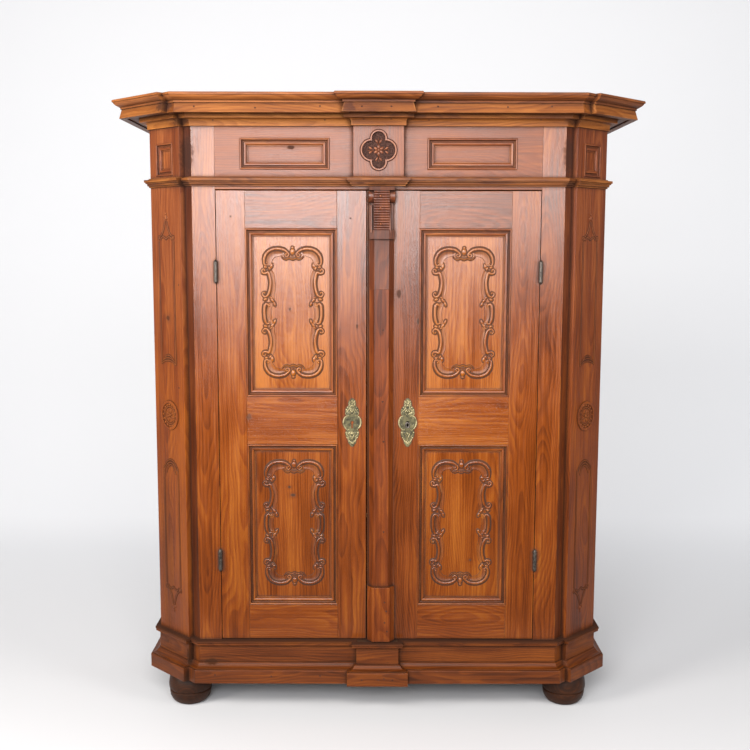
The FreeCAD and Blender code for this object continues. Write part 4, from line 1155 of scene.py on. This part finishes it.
def knob(shape, ground, x, z, sizes, turn=0.0, margin=3.4):
    """A carved lump on a low dark disc, which paints old wax and the shade round its foot."""
    long, wide, tall = sizes
    boss(shape, ground, x, z, (long + margin, wide + margin, 0.8), turn, dirt_and_shade=0.95)
    boss(shape, ground, x, z, (long, wide, tall), turn)


def carve(name, node, draw_all, slot=None, finish=None):
    """A new carving on a node: it takes the grain of that board and rides with it."""
    shape = bmesh.new()
    add_layers(shape)
    draw_all(shape)
    paint_grain(shape, shape.verts, grain_frames[node])
    return finish_piece(shape, name, body_of[node], slot or slot_of[node], (), finish, carving_angle)


print("a lump's dark foot reaches", foot_part, "of its height")

# %% [markdown]
# ## Cartouches on the door panels
#
# Each panel has a frame of C scrolls: two over the top, two under the bottom, and three on
# each side, with small knots where they meet. A quarter of it was measured from the
# photograph and is mirrored. Inside the scrolls runs a shallow hollow.

# %% Choose the shapes of a cartouche
top_scroll = [(79.0, 154.2), (75.1, 149.4), (79.9, 144.1), (86.9, 144.6), (89.1, 152.5), (86.9, 167.1),
              (77.1, 182.5), (61.7, 190.9), (44.8, 192.9), (28.0, 190.0), (16.8, 182.5), (11.8, 175.5),
              (15.4, 169.3), (22.4, 171.3), (23.0, 176.0), (18.8, 177.7)]
side_scroll = [(85.5, 128.4), (91.1, 132.0), (95.9, 127.3), (93.1, 120.0), (84.7, 118.8), (75.7, 120.8),
               (70.6, 105.4), (68.7, 90.0), (70.6, 71.8), (75.7, 56.3), (81.8, 49.9), (89.7, 49.3),
               (94.7, 56.3), (91.4, 61.7), (85.8, 60.0)]
middle_scroll = [(72.9, 29.2), (68.7, 24.1), (73.4, 20.7), (78.5, 24.7), (82.7, 26.9), (87.5, 21.3),
                 (89.1, 4.5), (88.3, -15.1), (84.7, -29.2), (79.9, -33.4), (72.9, -30.6), (70.6, -25.8),
                 (75.7, -23.5)]
top_wave = both_sides([(0, 160), (11, 164), (19, 160), (27, 163), (34, 170)])
scroll_taper = (0.5, 0.6, 0.85, 1.1, 1.1, 1.1, 1.1, 1.1, 0.85, 0.6, 0.5)
hollows = [([(31.5, 177), (44.5, 177), (59, 174), (68, 166), (72.5, 155), (72, 143)], [5, 9, 10, 11, 10, 7]),
           ([(67, 126), (61, 108), (58.5, 90), (59.5, 72), (63, 55), (62, 43)], [5, 6, 5, 6, 6.5, 5])]
middle_hollow = ([(66, 30), (73, 13), (74.5, -3), (72.5, -18), (65, -33)], [5, 7.5, 8, 7.5, 5])
eyes = [(18.8, 177.0, 3.2), (79.5, 151.5, 3.4), (87.0, 127.5, 3.2), (87.5, 60.0, 3.2)]
middle_eyes = [(73.0, 26.0), (74.5, -27.0)]
leaves = [(84.1, 137.6, 5.5, 4.0, 15), (66, 141, 8.5, 4.5, 100), (71.5, 134, 6, 3.5, 60),
          (85.5, 40.9, 6, 4, -20), (64, 38, 8, 4, 55), (57, 27, 8, 3.6, 70), (68, 46, 5.5, 3, 20)]
crest_buds = [(184, (7.0, 10.0, 4.2), 3.2), (196, (4.0, 3.5, 2.8), 3.4)]
wave_pads = [(0, 165), (20, 163), (-20, 163)]
wave_pad = (11, 6, 0.7)
eye_margin = 4.4
squeeze = 0.97
print("scrolls of", len(top_scroll), len(side_scroll), len(middle_scroll), "points")

# %% Carve the cartouches
cartouche_middle = 258.5
cartouche_levels = {"upper": 1262, "lower": 609}


def box_of(node):
    """Low and high corner of a node's box in millimetres."""
    return [[round(value / mm, 2) for value in corner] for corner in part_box(node)]


def draw_corner_scrolls(shape, ground, side, level):
    """A quarter of a cartouche; side and level are 1 or -1."""
    right = side * squeeze
    for path in (top_scroll, side_scroll):
        draw(shape, ground, smooth(flipped(path, right, level)), strap_section, scroll_taper, scroll_taper)
    for path, widths in hollows:
        draw(shape, ground, smooth(flipped(path, right, level), 4), hollow_section, widths,
             toward=(0, 60 * level))
    for x, z, size in eyes:
        knob(shape, ground, right * x, level * z, (size, size, 3.8), margin=eye_margin)
    for x, z, long, wide, turn in leaves:
        knob(shape, ground, right * x, level * z, (long, wide, 3.0), turn * side * level)


def draw_middle_scroll(shape, ground, side):
    """The scroll between the two quarters of a side."""
    right = side * squeeze
    draw(shape, ground, smooth(flipped(middle_scroll, right, 1)), strap_section, scroll_taper, scroll_taper)
    path, widths = middle_hollow
    draw(shape, ground, smooth(flipped(path, right, 1), 4), hollow_section, widths, toward=(0, 0))
    for x, z in middle_eyes:
        knob(shape, ground, right * x, z, (3, 3, 3.6), margin=eye_margin)


def draw_crest(shape, ground, level):
    """The buds and the waved line at the top or at the foot."""
    for z, sizes, margin in crest_buds:
        knob(shape, ground, 0, level * z, sizes, margin=margin)
    for x, z in wave_pads:
        boss(shape, ground, x, level * z, wave_pad, dirt_and_shade=0.8)
    draw(shape, ground, smooth(flipped(top_wave, 1, level)), vein_section, (0.6, 1.1, 1.1, 0.6), (1.6, 1.6))


def draw_cartouche(shape, ground):
    for side in (1, -1):
        for level in (1, -1):
            draw_corner_scrolls(shape, ground, side, level)
        draw_middle_scroll(shape, ground, side)
    for level in (1, -1):
        draw_crest(shape, ground, level)


for side, sign in (("left", -1), ("right", 1)):
    for level, z in cartouche_levels.items():
        node = f"{side}_door_{level}_panel"
        panel_ground = carving_ground((sign * cartouche_middle * mm, box_of(node)[0][1] * mm, z * mm))
        carve(f"{side}_{level}_cartouche", node, lambda shape: draw_cartouche(shape, panel_ground))
print("four cartouches")

# %% [markdown]
# ## Carving on the canted corners
#
# Each canted pilaster has two tall outlined fields that end in a bud, with a rosette
# between them. The same drawing serves both sides, because its ground is mirrored. It could
# be cut into the board, but a raised line with dark flanks, which paint the shade of a cut,
# looks the same from a step away.

# %% Choose the shapes of a corner
cant_start = (0.59373, -0.18598)
cant_centre = 78.0
field_side = [(38, 0), (38, 120), (38, 250), (38, 378)]
field_shoulder = [(34, 381), (41, 387), (40, 393), (32, 393), (24, 398), (15, 409), (8, 426), (4, 440)]
field_arch = both_sides([(0, 385), (10, 391), (21, 391), (30, 383)])
field_leaves = [(8, 447, (5.5, 2.6, 2.2), 60), (34, 388, (3, 3, 2.4), 0)]
field_bud = [(451, (5.5, 8, 3.2)), (462, (3.4, 4.2, 2.4))]
foot_arcs = [(0, 39), (8, 36), (16, 25)]
fields = [(1098, 1, 12), (768, -1, -28)]
rosette_level = 938.0
rosette_rings = [(42, strap_section, 0.62), (27, vein_section, 1.0)]
rosette_pearls = (34.5, 16, (4.6, 3.4, 2.4))
rosette_petals = (14, 8, (8, 4.4, 2.2))
rosette_eye = (6, 6, 3.4)
print("fields from", fields[0][0], "mm up and from", fields[1][0], "mm down")

# %% Carve the canted corners


def draw_field(shape, ground, foot, way, bow):
    """A tall field that starts at the height foot and runs up or down to its bud."""

    def set_out(points, side=1):
        return [(cant_centre + side * x, foot + way * run) for x, run in points]

    for side in (1, -1):
        draw(shape, ground, set_out(field_side, side), vein_section)
        draw(shape, ground, smooth(set_out(field_shoulder, side)), vein_section, (0.6, 1, 1.2, 1))
        for x, run, sizes, turn in field_leaves:
            boss(shape, ground, cant_centre + side * x, foot + way * run, sizes, turn * side * way)
    draw(shape, ground, smooth(set_out(field_arch)), vein_section)
    for step, half in foot_arcs:
        arc = [(x * half, step + bow * (1 - x * x)) for x in (-1, -0.5, 0, 0.5, 1)]
        draw(shape, ground, smooth(set_out(arc)), vein_section, (0.7, 1, 0.7))
    for run, sizes in field_bud:
        boss(shape, ground, cant_centre, foot + way * run, sizes)


def draw_rosette(shape, ground):
    """Two rings with a row of pearls between them, and eight petals round an eye."""
    for radius, section, width in rosette_rings:
        ring = smooth(circle(cant_centre, rosette_level, radius, radius, 24), 3, True)
        draw(shape, ground, ring, section, (width, width), closed=True)
    ring_of_bosses(shape, ground, cant_centre, rosette_level, *rosette_pearls)
    ring_of_bosses(shape, ground, cant_centre, rosette_level, *rosette_petals, start=0.5, dirt_and_shade=0.35)
    boss(shape, ground, cant_centre, rosette_level, rosette_eye, dirt_and_shade=0.3)


def draw_corner(shape, ground):
    for field in fields:
        draw_field(shape, ground, *field)
    draw_rosette(shape, ground)


for side, sign in (("left", -1), ("right", 1)):
    cant_ground = carving_ground((sign * cant_start[0], cant_start[1], 0), (sign, 1, 0))
    carve(side + "_corner_carving", "corner_pilaster_" + side, lambda shape: draw_corner(shape, cant_ground))
print("two carved corners")

# %% [markdown]
# ## Quatrefoil
#
# The block over the pilaster holds a quatrefoil with a pale rim and a punched dark ground. A
# plain flower with four leaves fills it here. A dark line runs round the foot of the rim and
# paints old wax and the shade there: it is drawn along each lobe, wherever no other lobe
# covers it. An outline could also be cut with a boolean, but then it could not carry its own
# darkening.

# %% Choose the shapes of the quatrefoil
lobes = [(-21.5, 0, 27.5), (21.5, 0, 27.5), (0, -34.0, 20.0), (0, 34.0, 20.0)]
rim_width = 5.7
ground_depth = 4.75
rim_shade_steps = 60
lobe_rise = 0.9
middle_dome = (20, 24, 1.3)
petals = 6
petal_reach = 9.5
petal_size = (6.5, 4.2, 2.4)
flower_eye = (4.2, 4.2, 3.4)
leaf_stems = [(0, 24), (180, 24), (90, 26), (270, 26)]
leaf_size = (6.5, 3.0, 2.2)


def middle_of(node):
    """Middle of a node's box in millimetres."""
    return [round(sum(pair) / 2, 1) for pair in zip(*box_of(node))]


medallion_level = middle_of("quatrefoil_medallion")[2] * mm
medallion_face = (box_of("frieze_block")[0][1] + ground_depth) * mm
medallion_ground = carving_ground((0, medallion_face, medallion_level))
print("the quatrefoil's middle lies at", medallion_level, "m")

# %% Fill the quatrefoil


def punched_finish():
    """Dark stained wood, beaten with a small round punch."""
    material, shader, w = new_material("punched_ground")
    place = w.add("TexCoord").outputs["Object"]
    dots = w.add("TexVoronoi", {"feature": "F1"}, Vector=place, Scale=420.0).outputs["Distance"]
    pit = w.ramp(dots, 0.2, 0.6)
    w.feed(shader.inputs["Base Color"], w.mix(pit, (0.008, 0.003, 0.002, 1), (0.055, 0.020, 0.013, 1)))
    shader.inputs["Roughness"].default_value = 0.65
    shader.inputs["Specular IOR Level"].default_value = 0.2
    bump = w.add("Bump", Height=pit, Distance=0.0012)
    w.feed(shader.inputs["Normal"], bump.outputs[0])
    return material


def draw_ground(shape):
    """Four low domes, one for each lobe, which meet in the middle."""
    for x, z, size in lobes:
        boss(shape, medallion_ground, x, z, (size, size, lobe_rise))
    boss(shape, medallion_ground, 0, 0, middle_dome)


def draw_leaf_pair(shape, turn, reach):
    """A stem that runs out at a quarter turn, with a leaf on each side."""
    c, s = round(math.cos(math.radians(turn))), round(math.sin(math.radians(turn)))

    def turned(along, aside):
        return (c * along - s * aside, s * along + c * aside)

    stem = [turned(14, 0), turned(reach - 4, 2.5), turned(reach + 9, 0)]
    draw(shape, medallion_ground, smooth(stem, 2), rib_section, (0.9, 0.6), (1.5, 1.3))
    for side in (1, -1):
        boss(shape, medallion_ground, *turned(reach, side * 6), leaf_size, turn + side * 35, height=0.6)


def draw_flower(shape):
    ring_of_bosses(shape, medallion_ground, 0, 0, petal_reach, petals, petal_size, start=0.5, height=0.8)
    boss(shape, medallion_ground, 0, 0, flower_eye, height=0.9)
    for turn, reach in leaf_stems:
        draw_leaf_pair(shape, turn, reach)


def draw_rim_shade(shape):
    """Painted shade and old wax, a dark line round the foot of the rim: of each lobe, the part that lies
    outside the others.
    """
    ground = carving_ground((0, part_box("frieze_block")[0][1], medallion_level))
    rims = [(x, z, size + rim_width) for x, z, size in lobes]
    for x, z, radius in rims:
        middle = math.atan2(z, x)
        turns = [middle + math.pi * i / rim_shade_steps for i in range(-rim_shade_steps, rim_shade_steps + 1)]
        places = [(x + radius * math.cos(a), z + radius * math.sin(a)) for a in turns]
        arc = [p for p in places if all(math.dist(p, other[:2]) > other[2] - 0.3 for other in rims)]
        draw(shape, ground, arc, rim_shade_section)


punched = punched_finish()
carve("quatrefoil_ground", "quatrefoil_medallion", draw_ground, finish=punched)
carve("quatrefoil_flower", "quatrefoil_medallion", draw_flower, finish=finish_of["moulding_wood"])
carve("quatrefoil_rim_shade", "frieze_block", draw_rim_shade, finish=finish_of["corner_wood"])
print("a flower of", petals, "petals in the quatrefoil")

# %% [markdown]
# ## Beads, rails and painted shadow beside the pilaster
#
# Three beads sit on the ribs of the console, and a thin rail runs down each side of them. A
# ray from the camera finds the leaning front of the console at each. Beside the pilaster, a
# dark strand paints the shadow in the narrow strip up to the edge of its door.

# %% Dress the pilaster
bead_column = 380.5
bead_rows = (196, 208, 224)
bead_size = (3.4, 3.4, 3.0)
rail_columns = (371.2, 390.1)
rail_row = 219
rail_half = 40
seam_shade_inset = 3.1
seam_shade_margin = 2
seam_shade_steps = 8


def draw_beads(shape):
    for down in bead_rows:
        place, out = seen_on("pilaster_console", bead_column, down)
        boss(shape, ground_at(place, out), 0, 0, bead_size)
    for right in rail_columns:
        place, out = seen_on("pilaster_console", right, rail_row)
        run = [(0, -rail_half), (0, 0), (0, rail_half)]
        draw(shape, ground_at(place, out), run, rail_section, (1, 1), (3.6, 3.6))


def draw_seam_shade(shape):
    """Painted shadow, dark in the narrow strip between the pilaster and the edge of its door."""
    low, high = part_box("right_door_lock_stile")
    ground = carving_ground((low[0] + seam_shade_inset * mm, low[1], 0))
    foot = low[2] / mm + seam_shade_margin
    rise = (high[2] - low[2] - 2 * seam_shade_margin * mm) / mm
    run = [(0, foot + rise * i / seam_shade_steps) for i in range(seam_shade_steps + 1)]
    draw(shape, ground, run, seam_shade_section, toward=(50, 900))


# The beads and rails take the paler moulding wood, which paints the highlights they catch.
carve("console_beads", "pilaster_console", draw_beads, finish=finish_of["moulding_wood"])
carve("pilaster_seam_shade", "right_door_lock_stile", draw_seam_shade, finish=finish_of["corner_wood"])
print(len(bead_rows), "beads and", len(rail_columns), "rails on the console")

# %% [markdown]
# ## Ornament on the key plates
#
# The key plates are cast, with raised scrolls and studs that are rubbed pale, and dark
# patches between them that paint tarnish and the shade in the openings of the casting. A dark
# iron collar stands round the hole of the right plate.
# The ornament could be a bump, but it is high enough to show at the edge of the plate.

# %% Choose the shapes of a key plate
rim_scroll = [(8, 19), (13, 21), (21, 17), (26, 6), (26, -6), (22, -15), (14, -23), (8, -21)]
upper_scrolls = [[(17, 22), (20, 28), (16, 34), (9, 41), (5, 51), (9, 59), (4, 66)],
                 [(2, 24), (7, 31), (4, 38), (0, 44)], [(0, 56), (3, 63), (0, 71)]]
lower_scrolls = [[(14, -28), (17, -36), (11, -44), (12, -53), (6, -60), (3, -69)],
                 [(1, -27), (6, -36), (2, -45), (0, -56)]]
plate_studs = [(13, 47, 3.2), (17, 39, 3.0), (8, 66, 2.6), (0, 52, 3.0), (15, -47, 3.0), (9, -58, 2.6),
               (0, -64, 3.2), (18, -31, 2.8), (0, 34, 3.6), (0, -34, 3.6)]
# Dark patches between the scrolls: tarnish, and painted shade in the openings.
plate_shade_patches = [(11, 30, 5.0, 2.4, 40), (4.5, 40, 4.5, 2.0, 100), (9, 53, 4.0, 2.0, 120),
                 (0, 29, 2.6, 2.0, 0), (3.5, 61, 3.6, 1.6, 70), (9, -32, 5.0, 2.2, 140),
                 (5.5, -46, 4.6, 2.0, 80), (11, -50, 3.0, 1.6, 110), (3, -60, 3.0, 1.6, 60),
                 (17, 12, 4.5, 1.8, 110), (17, -9, 4.5, 1.8, 70)]
collar_rings = [(4.6, 6.8), (6.8, 8.4)]
keyhole_drop = 8
print(len(plate_studs), "studs and", len(plate_shade_patches), "hollows on each half of a plate")

# %% Dress the key plates


def plate_ground(node, drop=0):
    """The ground of a key plate, from its middle or so many millimetres below it."""
    x, _, z = middle_of(node)
    return carving_ground((x * mm, box_of(node)[0][1] * mm, (z - drop) * mm))


def draw_scrolls(shape, ground):
    for side in (1, -1):
        for x, z, long, wide, turn in plate_shade_patches:
            boss(shape, ground, side * x, z, (long, wide, 0.5), turn * side, dirt_and_shade=1.0)
        draw(shape, ground, smooth(flipped(rim_scroll, side, 1), 2), rib_section, (0.7, 1.3, 1.4, 1.3, 0.7))
        for path in upper_scrolls + lower_scrolls:
            draw(shape, ground, smooth(flipped(path, side, 1), 2), rib_section, (0.6, 1, 1, 0.6))
        for x, z, size in plate_studs:
            boss(shape, ground, side * x, z, (size, size * 0.7, 1.5), 50 * side)


def draw_collar(shape):
    """The dark iron rings round the hole of the right plate."""
    ground = plate_ground("right_key_plate", keyhole_drop)
    for wide, tall in collar_rings:
        ring = smooth(circle(0, 0, wide, tall, 16), 2, True)
        draw(shape, ground, ring, rib_section, (1, 1), (0.4, 0.4), closed=True)


carve("right_keyhole_collar", "right_key_plate", draw_collar, "iron")
for side in ("left", "right"):
    node = side + "_key_plate"
    ground = plate_ground(node)
    carve(side + "_plate_scrolls", node, lambda shape: draw_scrolls(shape, ground), finish=bright_brass)
print("scrolls on two key plates")

# %% [markdown]
# ## Nail holes
#
# The mouldings are nailed on, and the sunk nails show as small dark dots. Each is a low dark
# plug, set where the photograph shows one. Real holes would need a cut in every board.

# %% Set the nail plugs
nail_marks = {
    "cornice_fascia": [(193.8, 106.3), (255, 107.7), (320, 106), (362, 106.3), (391.5, 106.3), (438, 106.5),
                       (508, 107), (552, 106.5)],
    "bed_moulding": [(212.8, 119.9), (324.8, 120), (363.7, 119), (391.2, 119), (429, 120), (541, 120)],
    "left_door_hinge_stile": [(230.5, 216.4)],
    "left_door_lock_stile": [(350.5, 218.3)],
    "pilaster_shaft": [(382.6, 401.8), (383.5, 441.8), (383.5, 532), (383, 330)],
    "pilaster_base": [(384.5, 602.6), (386.2, 611.4), (384.5, 622.8), (387, 631.6)],
    "plinth_band": [(361.7, 680.2), (378.3, 680.2), (384, 679), (392.4, 680.2), (215, 675), (271.3, 676.3),
                    (320, 676)],
    "corner_pilaster_left": [(178.5, 285), (179, 388)]}
nail_plug = (2.6, 2.6, 0.5)


def draw_plugs(shape, node):
    for right, down in nail_marks[node]:
        place, out = seen_on(node, right, down)
        if place is None:
            print("no surface for the nail at", node, right, down)
            continue
        boss(shape, ground_at(place, out), 0, 0, nail_plug, dirt_and_shade=1.0)


for node in nail_marks:
    carve("nail_plugs_" + node, node, lambda shape: draw_plugs(shape, node), finish=punched)
print("nail plugs on", len(nail_marks), "nodes")

# %% [markdown]
# ## Size
#
# Easing and carving must not change the size of the cabinet, and a picture alone would not
# show a difference of a few millimetres.
